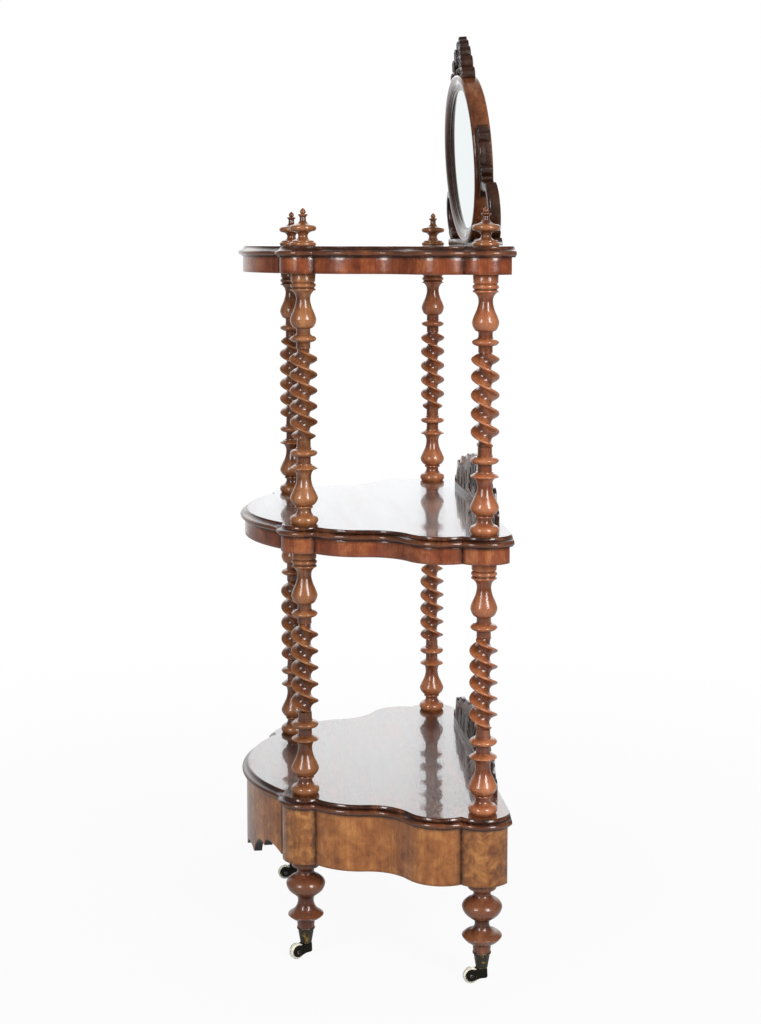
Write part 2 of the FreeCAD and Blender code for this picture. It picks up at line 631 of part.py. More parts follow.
def mirror_bracket():
    """Right bracket: a C-scroll on the base rail and an ear that hugs the oval frame."""
    back, t = -STAND_BACK, STAND_T
    h = BASE_RAIL_H
    bulge_r = 44.0
    strip = 13.5
    centre = (STAND_X - bulge_r, h + 43.0)
    scroll = slab(c_scroll(centre, bulge_r, bulge_r - strip, -88.0, 67.0), back, t)
    ankle = slab(path([(centre[0] + 6.0, h), (STAND_X - 6.0, h), ("via", STAND_X - 11.5, h + 5.0),
                       (STAND_X - 11.0, h + 12.0), (centre[0] + 12.0, h + 8.0),
                       ("via", centre[0] + 11.0, h + 4.0)]), back, t)
    eye_low = disc(centre[0] - 2.0, h + 9.5, 9.5, back, t)
    band = oval_stack([(-11.0, STAND_BACK), (-11.0, STAND_BACK + t)])
    window = Part.makeBox(60.0, 4 * t, 104.0, Vector(MIRROR_A - 24.0, -3 * t, h + 65.0))
    band = band.common(window)
    neck = slab(path([(MIRROR_A - 10.0, h + 71.0), ("via", centre[0] - 6.0, h + 68.0),
                      on_circle(centre, bulge_r - strip, 58.0), on_circle(centre, bulge_r, 58.0),
                      ("via", centre[0] - 1.0, h + 86.5), (MIRROR_A - 4.0, h + 95.0)]), back, t)
    bracket = scroll.fuse([
        ankle, eye_low, band, neck, disc(MIRROR_A + 11.5, 116.0, 8.5, back, t),
        disc(MIRROR_A + 9.0, 168.0, 9.0, back, t), disc(MIRROR_A + 14.0, 103.0, 5.0, back, t)])
    under = Part.makeBox(2 * STAND_X, 4 * t, h, Vector(0, -3 * t, 0))
    return clear_of_frame(bracket.cut(under))


def mirror_base_rail():
    """Rail that both brackets stand on, hollowed under the oval frame."""
    x, h = STAND_X, BASE_RAIL_H
    rail = slab(path([(-x, -3.0), (x, -3.0), (x, 4.0), ("via", x - 1.2, 8.0), (x - 5.0, h),
                      (-x + 5.0, h), ("via", -x + 1.2, 8.0), (-x, 4.0)]), -STAND_BACK, STAND_T)
    return clear_of_frame(rail)


CREST_DRAWN_H = 61.0       # height that the crest below is drawn to, before it is scaled


def mirror_crest():
    """Pierced crest on top of the oval frame: paired lobes, thinner as they rise. It is
    drawn with the frame's top at z = 0."""
    crest = slab(path([(-56.0, -30.0), (56.0, -30.0), (52.0, -6.0), ("via", 32.0, 14.0),
                       (16.0, 40.0), ("via", 0.0, 50.0), (-16.0, 40.0), ("via", -32.0, 14.0),
                       (-52.0, -6.0)]), 0.0, 13.0)
    lobes = [(52.0, -3.0, 11.0, 22.0), (37.0, 15.5, 12.0, 20.5), (22.5, 32.0, 11.5, 18.5),
             (9.0, 45.0, 9.8, 16.0)]
    for x, z, r, t in lobes:
        crest = crest.fuse([disc(side * x, z, r, 1.4, t) for side in (1, -1)])
    crest = crest.fuse(disc(0.0, CREST_DRAWN_H - 7.5, 7.5, 0.6, 12.0))
    holes = [(0.0, 17.0, 7.0), (0.0, 34.0, 5.0)]
    holes += [(side * x, z, r) for side in (1, -1)
              for x, z, r in ((17.0, 13.0, 5.0), (37.0, 14.0, 4.5), (22.0, 31.0, 4.0), (52.0, -3.0, 3.6))]
    for x, z, r in holes:
        crest = crest.cut(disc(x, z, r, 3.0, 30.0))
    crest.scale(CREST_H / CREST_DRAWN_H)
    crest.translate(Vector(0, -STAND_BACK, MIRROR_GAP + 2 * MIRROR_B))
    return clear_of_frame(crest)


def leaned(shape):
    """Leans a mirror piece forward on the top board and trims what would pass below it."""
    shape = shape.copy()
    shape.rotate(Vector(0, 0, 0), Vector(1, 0, 0), MIRROR_LEAN)
    shape.translate(Vector(0, BACK_Y + MIRROR_BACK, TOP_FACE))
    if shape.BoundBox.ZMin < TOP_FACE:
        below = Part.makeBox(DEPTH * 2, DEPTH, 50.0, Vector(-DEPTH, 0, TOP_FACE - 50.0))
        shape = shape.cut(below)
    return shape


# ---------------------------------------------------------------- galleries

def gallery():
    """Pierced back gallery standing on z = 0, its back face on y = 0."""
    h, x, t = GALLERY_H, GALLERY_HALF, GALLERY_T
    half = [(x, 0.0), (x, 8.0), ("via", x - 3.0, 19.0), (x - 14.0, 22.0), ("via", x - 20.0, 29.0),
            (x - 24.0, 40.0), ("via", x - 33.0, 51.0), (x - 46.0, 49.0), ("via", x - 54.0, 48.0),
            (x - 62.0, 54.0), ("via", x - 84.0, 65.0), (x - 108.0, 60.0), ("via", x - 118.0, 62.0),
            (x - 126.0, 68.0), ("via", x - 150.0, 77.0), (x - 172.0, 73.0), ("via", x - 190.0, h - 3.0)]
    flipped = [("via", -p[1], p[2]) if p[0] == "via" else (-p[0], p[1]) for p in reversed(half)]
    panel = slab(path(half + [(0.0, h)] + flipped), 0.0, t)
    holes = []
    for k in range(-4, 5):
        a = math.radians(90.0 + 18.0 * k)
        reach = 58.0 - 2.4 * abs(k)
        holes.append(teardrop((22.0 * math.cos(a), 9.0 + 22.0 * math.sin(a)),
                              (reach * math.cos(a), 9.0 + reach * math.sin(a)), 2.0, 6.0))
    for side in (1, -1):
        for low, z_low, high, z_high, r in (
                (0.385, 14.0, 0.375, 42.0, 5.5), (0.466, 46.0, 0.457, 16.0, 5.5),
                (0.538, 14.0, 0.548, 42.0, 6.0), (0.630, 42.0, 0.615, 16.0, 5.0),
                (0.697, 14.0, 0.716, 36.0, 5.0), (0.793, 40.0, 0.784, 15.0, 4.5),
                (0.856, 30.0, 0.865, 14.0, 4.0), (0.918, 13.0, 0.957, 13.0, 4.0)):
            holes.append(teardrop((side * low * x, z_low), (side * high * x, z_high), 1.8, r))
    for hole in holes:
        panel = panel.cut(slab(hole, 1.0, t + 2.0))
    return panel


def teardrop(p, q, r_p, r_q):
    """Drop-shaped face in the XZ plane from a small round at p to a larger one at q."""
    a = math.atan2(q[1] - p[1], q[0] - p[0])
    side = math.acos((r_p - r_q) / math.hypot(q[0] - p[0], q[1] - p[1]))

    def rim(c, r, turn):
        return (c[0] + r * math.cos(a + turn), c[1] + r * math.sin(a + turn))
    return path([rim(p, r_p, side), ("via", *rim(p, r_p, math.pi)), rim(p, r_p, -side),
                 rim(q, r_q, -side), ("via", *rim(q, r_q, 0.0)), rim(q, r_q, side)])


# ---------------------------------------------------------------- assembly

def put(shape, x, y, z, turn=0.0):
    shape = shape.copy()
    shape.rotate(Vector(0, 0, 0), Vector(0, 0, 1), turn)
    shape.translate(Vector(x, y, z))
    return shape


for tier in ("bottom", "middle", "top"):
    side = side_rail(tier)
    save(tier + "_board", shelf_board(tier))
    save(tier + "_corner_blocks", *corner_blocks(tier))
    save(tier + "_front_rail", front_rail(tier))
    save(tier + "_back_rail", back_rail(tier))
    save(tier + "_right_rail", side)
    save(tier + "_left_rail", mirrored(side))

one_column = column()
one_finial = finial()
feet = {"front": foot(True), "back": foot(False)}
cup, horn, axle, wheel = castor_cup(), castor_horn(), castor_axle(), castor_wheel()
for corner, (x, y) in POSTS.items():
    for level, tier in (("lower", "bottom"), ("upper", "middle")):
        save(level + "_column_" + corner, put(one_column, x, y, BOARD_Z[tier] + BOARD_T))
    save("finial_" + corner, put(one_finial, x, y, TOP_FACE))
    save("foot_" + corner, put(feet[corner.split("_")[0]], x, y, CUP_LIFT + CUP_FLOOR_T))
    turn = TRAIL_ANGLES[corner]
    save("castor_cup_" + corner, put(cup, x, y, 0.0, turn))
    save("castor_horn_" + corner, put(horn, x, y, 0.0, turn))
    save("castor_axle_" + corner, put(axle, x, y, 0.0, turn))
    save("castor_wheel_" + corner, put(wheel, x, y, 0.0, turn))

bracket = mirror_bracket()
save("mirror_frame", leaned(mirror_frame()))
save("mirror_glass", leaned(mirror_glass()))
save("mirror_backboard", leaned(mirror_backboard()))
save("mirror_crest", leaned(mirror_crest()))
save("mirror_base_rail", leaned(mirror_base_rail()))
save("mirror_bracket_right", leaned(bracket))
save("mirror_bracket_left", leaned(mirrored(bracket)))

fret = gallery()
for tier in ("bottom", "middle"):
    save(tier + "_gallery", put(fret, 0.0, BACK_Y - GALLERY_IN, BOARD_Z[tier] + BOARD_T))
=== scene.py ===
import math

import bpy
from mathutils import Matrix, Vector


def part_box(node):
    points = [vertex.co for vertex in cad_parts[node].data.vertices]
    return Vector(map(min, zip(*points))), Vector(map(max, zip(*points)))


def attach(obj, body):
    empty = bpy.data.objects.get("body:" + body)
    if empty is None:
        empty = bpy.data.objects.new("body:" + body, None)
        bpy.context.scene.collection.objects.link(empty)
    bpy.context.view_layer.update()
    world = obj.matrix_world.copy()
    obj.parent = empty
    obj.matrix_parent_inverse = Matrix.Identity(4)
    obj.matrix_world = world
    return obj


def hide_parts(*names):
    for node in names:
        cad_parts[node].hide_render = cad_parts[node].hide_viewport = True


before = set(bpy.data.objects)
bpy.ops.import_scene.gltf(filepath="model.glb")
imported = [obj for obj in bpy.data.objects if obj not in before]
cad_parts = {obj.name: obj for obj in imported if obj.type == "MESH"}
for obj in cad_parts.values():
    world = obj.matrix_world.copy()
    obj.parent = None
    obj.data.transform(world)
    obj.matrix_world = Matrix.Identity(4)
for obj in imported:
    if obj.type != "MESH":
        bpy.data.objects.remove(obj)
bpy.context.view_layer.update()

MM = 0.001
BEVEL_ANGLE = 35
SMOOTH_ANGLE = 32


# ---- sizes, in millimetres

def low(node):
    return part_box(node)[0] / MM


def high(node):
    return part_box(node)[1] / MM


TIERS = ("bottom", "middle", "top")
BACK_Y = high("top_board").y
BOARD_Z = {tier: low(tier + "_board").z for tier in TIERS}
BOARD_T = high("top_board").z - low("top_board").z
SKIRT_LOW = {tier: low(tier + "_corner_blocks").z for tier in TIERS}
FRIEZE_BACK_Y = high("top_back_rail").y
RAIL_T = FRIEZE_BACK_Y - low("top_back_rail").y
TOP_FACE = BOARD_Z["top"] + BOARD_T

FRONT_POST = (166, -103)  # column centres on the right
BACK_POST = (287, 156)
POSTS = {"front_left": (-FRONT_POST[0], FRONT_POST[1]), "front_right": FRONT_POST,
         "back_left": (-BACK_POST[0], BACK_POST[1]), "back_right": BACK_POST}
TRAIL_ANGLES = {"front_left": -84, "front_right": -60, "back_left": -100, "back_right": -82}

# Plan of the boards: arcs of the right half, the left one is its mirror image.
BOW_R = 252
BOW_CENTRE = (0, 62.5)
FRONT_BLOCK_R = 36
FLANK_R = 96.5
FLANK_CENTRE = (141, -13)
SCOOP_R = 71
LOBE_R = 60.5
LOBE_CENTRE = (249.5, 98.6)
BACK_BLOCK_R = 45.5
BLOCK_CENTRE = (277, 156)
BACK_RAIL_HALF = 237

COLUMN_H = 382
COLUMN_R = 21.5
NECK_R = 10.8
TWIST_LOW = 128.5
TWIST_HIGH = 268.5
TWIST_R = 21.2
TWIST_ROOT_R = 9.4
TWIST_FADE = 11
TWIST_RINGS = 140
# Cut by hand: rise of one turn and bearing at the low end, of the lower column and the upper.
TWISTS = {"front_left": ((56, 149), (51, 146)), "front_right": ((52, 27), (48, 116)),
          "back_left": ((50, 146), (51, 103)), "back_right": ((48.5, 65), (54, 56))}

WHEEL_R = 12.3
WHEEL_W = 8.4
WHEEL_TRAIL = 17
CUP_LOW = 23
CUP_TOP = 48.5

MIRROR_A = 154
MIRROR_B = 134
MIRROR_Z = 140  # oval's centre over the shelf
MIRROR_DEPTH = 29
GLASS_FRONT = 20.5  # distance of the glass's face from the frame's back
GLASS_T = 3
BACKBOARD_T = 6
PLATE_INSET = 18.7  # inside the oval
PLATE_GAP = 0.05
MIRROR_LEAN = 4
MIRROR_FOOT_Y = BACK_Y + 0.4
STAND_BACK = 5
STAND_T = 17.6
STAND_X = 222
BASE_RAIL_H = 13
CREST_H = 61

GALLERY_HALF = 208
GALLERY_H = 84
GALLERY_T = 7
GALLERY_BACK_Y = BACK_Y - 4.5


# ---- plane geometry

def on_circle(centre, r, degrees):
    a = math.radians(degrees)
    return (centre[0] + r * math.cos(a), centre[1] + r * math.sin(a))


def bearing(centre, p):
    return math.degrees(math.atan2(p[1] - centre[1], p[0] - centre[0]))


def meet(c1, r1, c2, r2, side):
    """Crossing of two circles, on the given side of the line from c1 to c2."""
    d = math.dist(c1, c2)
    along = (d * d + r1 * r1 - r2 * r2) / (2 * d)
    across = side * math.sqrt(r1 * r1 - along * along)
    ux, uy = (c2[0] - c1[0]) / d, (c2[1] - c1[1]) / d
    return (c1[0] + along * ux - across * uy, c1[1] + along * uy + across * ux)


def toward(centre, target, r):
    return on_circle(centre, r, bearing(centre, target))


def arc_through(p, via, q, count):
    """Points after p along the arc p, via, q, ending on q."""
    ax, ay, bx, by, cx, cy = *p, *via, *q
    d = 2 * (ax * (by - cy) + bx * (cy - ay) + cx * (ay - by))
    if abs(d) < 1e-9:
        return [via, q]
    ux = ((ax * ax + ay * ay) * (by - cy) + (bx * bx + by * by) * (cy - ay)
          + (cx * cx + cy * cy) * (ay - by)) / d
    uy = ((ax * ax + ay * ay) * (cx - bx) + (bx * bx + by * by) * (ax - cx)
          + (cx * cx + cy * cy) * (bx - ax)) / d
    centre, r = (ux, uy), math.dist((ux, uy), p)
    a, v, b = (bearing(centre, e) for e in (p, via, q))
    turn = (b - a) % 360
    if (v - a) % 360 > turn:
        turn -= 360
    return [on_circle(centre, r, a + turn * i / count) for i in range(1, count + 1)]


def spline_through(points, count):
    """Points after the first one along a smooth curve through them all."""
    ends = [points[0]] + list(points) + [points[-1]]
    out = []
    for p0, p1, p2, p3 in zip(ends, ends[1:], ends[2:], ends[3:]):
        for i in range(1, count + 1):
            t = i / count
            out.append(tuple(0.5 * (2 * b + (c - a) * t + (2 * a - 5 * b + 4 * c - d) * t * t
                                    + (3 * b - a - 3 * c + d) * t ** 3)
                             for a, b, c, d in zip(p0, p1, p2, p3)))
    return out


def traced(steps, arc_count=7, curve_count=4):
    """Points of a line of steps: plain points, ("arc", via, end) and ("curve", p, q, ...)."""
    out = [steps[0]]
    for step in steps[1:]:
        if step[0] == "arc":
            out += arc_through(out[-1], step[1], step[2], arc_count)
        elif step[0] == "curve":
            out += spline_through([out[-1]] + list(step[1:]), curve_count)
        else:
            out.append(step)
    return out


def flip(points):
    """The points mirrored left to right, in reverse order."""
    return [(-p[0], *p[1:]) for p in reversed(points)]


SCOOP_CENTRE = meet(FLANK_CENTRE, FLANK_R + SCOOP_R, LOBE_CENTRE, LOBE_R + SCOOP_R, -1)


def right_side(grow):
    """Arcs of the right half of the plan, front to back: (centre, r, start, end)."""
    bow, block, back = BOW_R + grow, FRONT_BLOCK_R + grow, BACK_BLOCK_R + grow
    flank, lobe, scoop = FLANK_R + grow, LOBE_R + grow, SCOOP_R - grow
    front_valley = meet(BOW_CENTRE, bow, FRONT_POST, block, -1)
    side_valley = meet(FRONT_POST, block, FLANK_CENTRE, flank, -1)
    back_valley = meet(LOBE_CENTRE, lobe, BLOCK_CENTRE, back, -1)
    scoop_start = toward(FLANK_CENTRE, SCOOP_CENTRE, flank)
    scoop_end = toward(LOBE_CENTRE, SCOOP_CENTRE, lobe)
    return [(BOW_CENTRE, bow, (0, BOW_CENTRE[1] - bow), front_valley),
            (FRONT_POST, block, front_valley, side_valley),
            (FLANK_CENTRE, flank, side_valley, scoop_start),
            (SCOOP_CENTRE, scoop, scoop_start, scoop_end),
            (LOBE_CENTRE, lobe, scoop_end, back_valley),
            (BLOCK_CENTRE, back, back_valley, None)]


ARC_COUNTS = (12, 22, 14, 20, 18, 34)


def arc_points(centre, r, p, q, count):
    """Points from p to q the short way round the circle, both ends in."""
    a, b = bearing(centre, p), bearing(centre, q)
    turn = (b - a + 180) % 360 - 180
    return [on_circle(centre, r, a + turn * i / count) for i in range(count + 1)]


def right_outline(grow, first=0, last=6):
    """Right half of the plan, or some of its arcs, from the front to the back edge's end."""
    points = []
    for (centre, r, p, q), count in list(zip(right_side(grow), ARC_COUNTS))[first:last]:
        if q is None:
            q = (centre[0] + math.sqrt(r * r - (BACK_Y - centre[1]) ** 2), BACK_Y)
        points += arc_points(centre, r, p, q, count)[1 if points else 0:]
    return points


def outline(grow, z):
    right = right_outline(grow)
    return [(x, y, z) for x, y in right + flip(right)[:-1]]


# ---- modelling helpers

def alone(piece):
    """Makes the piece the only selected one, and the active one."""
    bpy.ops.object.select_all(action="DESELECT")
    piece.select_set(True)
    bpy.context.view_layer.objects.active = piece


def mode(name):
    bpy.ops.object.mode_set(mode=name)


def edit_all():
    mode("EDIT")
    bpy.ops.mesh.select_all(action="SELECT")


def place(co):
    """A point as a key, rounded to a tenth of a micrometre."""
    return tuple(round(c, 7) for c in co)


def loft(name, rings, filled=True):
    """Skin through rings of points: the first ring is a circle drawn out to its points, and
    it is extruded to each next ring in turn."""
    bpy.ops.mesh.primitive_circle_add(vertices=len(rings[0]))
    piece = bpy.context.object
    piece.name = name
    mesh = piece.data
    for vertex, point in zip(mesh.vertices, rings[0]):
        vertex.co = Vector(point) * MM
    if filled:
        edit_all()
        bpy.ops.mesh.edge_face_add()
        mode("OBJECT")
    for before, after in zip(rings, rings[1:]):
        mode("EDIT")
        bpy.ops.mesh.extrude_region_move()
        mode("OBJECT")
        number = {place(Vector(p) * MM): i for i, p in enumerate(before)}
        for vertex in mesh.vertices:
            if vertex.select:
                vertex.co = Vector(after[number[place(vertex.co)]]) * MM
    recalculate(piece)
    return piece


def recalculate(piece, merge=True):
    """Merges doubles and turns the normals outward."""
    alone(piece)
    edit_all()
    if merge:
        bpy.ops.mesh.remove_doubles(threshold=0.002 * MM)
    bpy.ops.mesh.normals_make_consistent(inside=False)
    mode("OBJECT")


def lathe(name, profile, steps=56, arc_count=7):
    """Turned piece: one vertex extruded along the traced profile (radius, height) and spun."""
    bpy.ops.mesh.primitive_plane_add(size=MM)
    piece = bpy.context.object
    piece.name = name
    edit_all()
    bpy.ops.mesh.merge(type="CENTER")
    at = Vector()
    for number, (r, z) in enumerate(traced(profile, arc_count)):
        to = Vector((r, 0, z)) * MM
        if number:
            bpy.ops.mesh.extrude_vertices_move(TRANSFORM_OT_translate={"value": to - at})
        else:
            bpy.ops.transform.translate(value=to)
        at = to
    bpy.ops.mesh.select_all(action="SELECT")
    bpy.ops.mesh.spin(steps=steps, angle=2 * math.pi, center=(0, 0, 0), axis=(0, 0, 1))
    mode("OBJECT")
    recalculate(piece)
    return piece


def drum(r, low_z, high_z, steps):
    """Plain turned cylinder, to cut with."""
    return lathe("drum", [(0, low_z), (r, low_z), (r, high_z), (0, high_z)], steps)


def sweep(name, spine, section, sizes=None):
    """Section (along, across) carried along a spine in the XZ plane, its "across" on -Y."""
    rings = []
    for i, (x, z) in enumerate(spine):
        (ax, az), (bx, bz) = spine[max(i - 1, 0)], spine[min(i + 1, len(spine) - 1)]
        length = math.hypot(bx - ax, bz - az)
        nx, nz = (bz - az) / length, -(bx - ax) / length
        size = sizes[i] if sizes else 1
        rings.append([(x + nx * u * size, -v, z + nz * u * size) for u, v in section])
    return loft(name, rings)


def joined(name, pieces):
    alone(pieces[0])
    for piece in pieces:
        piece.select_set(True)
    bpy.ops.object.join()
    pieces[0].name = name
    return pieces[0]


def apply_modifier(piece, kind, **settings):
    alone(piece)
    modifier = piece.modifiers.new(kind.title(), kind)
    for key, value in settings.items():
        setattr(modifier, key, value)
    bpy.ops.object.modifier_apply(modifier=modifier.name)
    return piece


def bevelled(piece, width, segments=2):
    return apply_modifier(piece, "BEVEL", width=width * MM, segments=segments,
                          limit_method="ANGLE", angle_limit=math.radians(BEVEL_ANGLE))


def cut(piece, cutter):
    """Takes the cutter's solid away from the piece."""
    apply_modifier(piece, "BOOLEAN", operation="DIFFERENCE", object=cutter, solver="EXACT")
    bpy.data.objects.remove(cutter)
    return piece


def moved(piece, offset, turn=0, axis=2):
    """Turns the piece about an axis through the origin, moves it, and leaves it unturned."""
    alone(piece)
    piece.rotation_euler[axis] = math.radians(turn)
    piece.location = Vector(offset) * MM
    bpy.ops.object.transform_apply(location=True, rotation=True, scale=True)
    return piece


def duplicate(piece, name):
    alone(piece)
    bpy.ops.object.duplicate(linked=False)
    copy = bpy.context.object
    copy.name = name
    return copy


def copied(piece, node_name, offset, turn=0):
    """A copy of a pattern, in its place and named for the node that it stands for."""
    return moved(duplicate(piece, node_name + ".form"), offset, turn)


def mirrored(piece, name):
    """A copy on the other side of the middle, its faces turned outward again."""
    copy = duplicate(piece, name)
    copy.scale[0] = -1
    bpy.ops.object.transform_apply(location=False, rotation=False, scale=True)
    recalculate(copy, merge=False)
    return copy


def prism(name, points, back, thickness):
    """Flat shape in the XZ plane, its back on y = back and its front towards -Y."""
    return loft(name, [[(x, y, z) for x, z in points] for y in (back, back - thickness)])


def leaned(piece):
    """Leans a mirror piece forward and stands it on the top board."""
    return moved(piece, (0, MIRROR_FOOT_Y, TOP_FACE), MIRROR_LEAN, 0)


def mark(piece, name, share):
    """Stores a share from 0 to 1, worked out from each point's place in millimetres, that
    the piece's material reads by this name."""
    attribute = piece.data.attributes.new(name, "FLOAT", "POINT")
    for vertex, item in zip(piece.data.vertices, attribute.data):
        item.value = min(1, max(0, share(*(vertex.co / MM))))


def finished(piece, material, body="stand"):
    """Smooths and paints the piece, hangs it on the empty of its body, and hides the node in its
    name.
    """
    alone(piece)
    bpy.ops.object.shade_smooth_by_angle(angle=math.radians(SMOOTH_ANGLE))
    piece.data.materials.clear()
    piece.data.materials.append(material)
    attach(piece, body)
    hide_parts(piece.name.removesuffix(".form"))


# ---- materials

def colour(value):
    """Linear colour of an sRGB hex code, or the grey that reflects this share."""
    if not isinstance(value, str):
        return (value, value, value, 1)
    parts = [int(value[i:i + 2], 16) / 255 for i in (1, 3, 5)]
    linear = [c / 12.92 if c <= 0.04045 else ((c + 0.055) / 1.055) ** 2.4 for c in parts]
    return (*linear, 1)


def wire(tree, item, *values, **named):
    """Links or sets a node's inputs, in their order or by name: Base_Color is Base Color."""
    for key, value in (*enumerate(values), *named.items()):
        target = item.inputs[key if isinstance(key, int) else key.replace("_", " ")]
        if isinstance(value, bpy.types.NodeSocket):
            tree.links.new(value, target)
        else:
            target.default_value = colour(value) if isinstance(value, str) else value


def node(tree, kind, out, *values, stops=(), **named):
    """Adds a node and gives back one of its outputs. Values, or the sockets of other nodes,
    go to its inputs in their order or by name; lower-case names are the node's own options,
    and stops the (place, colour) pairs of a ramp."""
    item = tree.nodes.new("ShaderNode" + kind)
    for option in [key for key in named if key.islower()]:
        setattr(item, option, named.pop(option))
    wire(tree, item, *values, **named)
    for number, (at, value) in enumerate(stops):
        elements = item.color_ramp.elements
        if number == len(elements):
            elements.new(at)
        elements[number].position = at
        elements[number].color = colour(value)
    return item.outputs[out]


def found(tree, kind):
    """The node of this kind that every new material or world starts with."""
    return next(item for item in tree.nodes if item.type == kind)


def new_material(name):
    """A material, its tree, its shader and the place on the object that patterns go by."""
    material = bpy.data.materials.new(name)
    material.use_nodes = True
    tree = material.node_tree
    where = node(tree, "TexCoord", "Object")
    return material, tree, found(tree, "BSDF_PRINCIPLED"), where


def per_mm(millimetres):
    """Pattern frequency in Blender's units, for a pattern that repeats at this size."""
    return 1 / (millimetres * MM)


def stretch(axis, length, width):
    """Pattern frequencies for streaks this long along the grain and this wide across it."""
    scale = [per_mm(width)] * 3
    scale["XYZ".index(axis)] = per_mm(length)
    return scale


def grain_tone(tree, where, dark, middle, pale, axis, figure, burr_size):
    """Walnut's colour: thin streaks and broad soft bands of stain that run and wander along
    the grain, mixed with the swirls of a burr where there is figure."""
    drift = node(tree, "TexNoise", "Color", Vector=where, Scale=per_mm(60), Detail=2)
    offset = node(tree, "VectorMath", "Vector", drift, Scale=9 * MM, operation="SCALE")
    wandering = node(tree, "VectorMath", "Vector", where, offset, operation="ADD")
    thin = node(tree, "Mapping", "Vector", Vector=wandering, Scale=stretch(axis, 140, 3.2))
    streak = node(tree, "TexNoise", "Fac", Vector=thin, Scale=1, Detail=6, Roughness=0.62,
                  Distortion=0.35)
    broad = node(tree, "Mapping", "Vector", Vector=wandering, Scale=stretch(axis, 220, 26))
    band = node(tree, "TexNoise", "Fac", Vector=broad, Scale=1, Detail=3, Roughness=0.5,
                Distortion=0.8)
    burr = node(tree, "TexNoise", "Fac", Vector=where, Scale=per_mm(burr_size), Detail=5,
                Roughness=0.6, Distortion=0.7)
    plain = node(tree, "Mix", "Result", Factor=0.6, A=streak, B=band)
    figured = node(tree, "Mix", "Result", Factor=figure, A=plain, B=burr)
    tone = node(tree, "ValToRGB", "Color", Fac=figured,
                stops=[(0.34, dark), (0.5, middle), (0.66, pale)])
    return tone, band, wandering


def open_pores(tree, where, wandering, axis, checks):
    """Short dark pores along the grain, and the checks: short cracks across old veneer."""
    fine = node(tree, "Mapping", "Vector", Vector=wandering, Scale=stretch(axis, 7, 0.45))
    pit = node(tree, "TexNoise", "Fac", Vector=fine, Scale=1, Detail=2)
    pore = node(tree, "ValToRGB", "Color", Fac=pit, stops=[(0.6, 0), (0.7, 1)])
    across = node(tree, "Mapping", "Vector", Vector=where, Scale=stretch("Z", 0.9, 5))
    split = node(tree, "TexNoise", "Fac", Vector=across, Scale=1, Detail=2, Roughness=0.6)
    crack = node(tree, "ValToRGB", "Color", Fac=split, stops=[(0.66, 0), (0.72, checks)])
    both = node(tree, "Math", "Value", pore, crack, operation="MAXIMUM")
    return pore, both


def wear_dirt_and_painted_light(tree, where, tone, pale):
    """Paler on crests and edges, partly wear where hands and dusters rub and partly a painted
    highlight; darker in patches in the hollows and corners, partly dirt and partly painted
    shade; and near-black on the bow's inner face."""
    # Paler on crests and edges, from pointiness and the marked share: wear and a painted
    # highlight.
    pointed = node(tree, "NewGeometry", "Pointiness")
    wear_and_highlight = node(tree, "Attribute", "Fac", attribute_name="wear_and_highlight")
    edge = node(tree, "ValToRGB", "Color", Fac=pointed, stops=[(0.51, 0), (0.6, 1)])
    paler_share = node(tree, "Math", "Value", wear_and_highlight, edge, operation="MAXIMUM")
    wear_and_highlight_amount = node(tree, "Math", "Value", paler_share, 0.4, operation="MULTIPLY")
    worn_and_highlit = node(tree, "Mix", "Result", Factor=wear_and_highlight_amount, A=tone, B=pale, data_type="RGBA")
    # Darker in hollows, creases and marked places, in patches: dirt and painted shade.
    dirt_and_shade = node(tree, "Attribute", "Fac", attribute_name="dirt_and_shade")
    hollow = node(tree, "ValToRGB", "Color", Fac=pointed, stops=[(0.43, 0.9), (0.495, 0)])
    dirt_and_shade_share = node(tree, "Math", "Value", dirt_and_shade, hollow, operation="MAXIMUM")
    cloud = node(tree, "TexNoise", "Fac", Vector=where, Scale=per_mm(9), Detail=4, Roughness=0.6)
    uneven = node(tree, "ValToRGB", "Color", Fac=cloud, stops=[(0.3, 0.7), (0.6, 1)])
    patchy = node(tree, "Math", "Value", dirt_and_shade_share, uneven, operation="MULTIPLY")
    # The bow's inner face is painted near-black.
    bow_inside_dark = node(tree, "Attribute", "Fac", attribute_name="bow_inside_dark")
    dark = node(tree, "Math", "Value", patchy, bow_inside_dark, operation="MAXIMUM")
    return node(tree, "Mix", "Result", Factor=dark, A=worn_and_highlit, B="#180a05", data_type="RGBA")


def polished_wood(name, dark, middle, pale, coat_roughness, figure=0, burr_size=22, checks=0,
                  waves=0, coat=1, axis="Z"):
    """Walnut stained and French-polished: a clear thin film of shellac mirrors the lights,
    and under it the wood itself hardly shines. Waves are the slight unevenness of a
    hand-planed top, which ruffles what it mirrors."""
    material, tree, shader, where = new_material(name)
    tone, band, wandering = grain_tone(tree, where, dark, middle, pale, axis, figure, burr_size)
    pore, dark_marks = open_pores(tree, where, wandering, axis, checks)
    pored = node(tree, "Mix", "Result", Factor=dark_marks, A=tone, B=dark, data_type="RGBA")
    polish = node(tree, "MapRange", "Result", Value=band, To_Min=0.32, To_Max=0.5)
    swell = node(tree, "TexNoise", "Fac", Vector=where, Scale=per_mm(16), Detail=2)
    ripple = node(tree, "Bump", "Normal", Height=swell, Strength=1, Distance=waves * MM)
    bump = node(tree, "Bump", "Normal", Height=pore, Strength=0.25, Distance=-0.12 * MM,
                Normal=ripple)
    wire(tree, shader, Base_Color=wear_dirt_and_painted_light(tree, where, pored, pale), Roughness=polish,
         Normal=bump, Coat_Normal=bump, IOR=1.5, Specular_IOR_Level=0.12, Coat_Weight=coat,
         Coat_Roughness=coat_roughness, Coat_IOR=1.5)
    return material


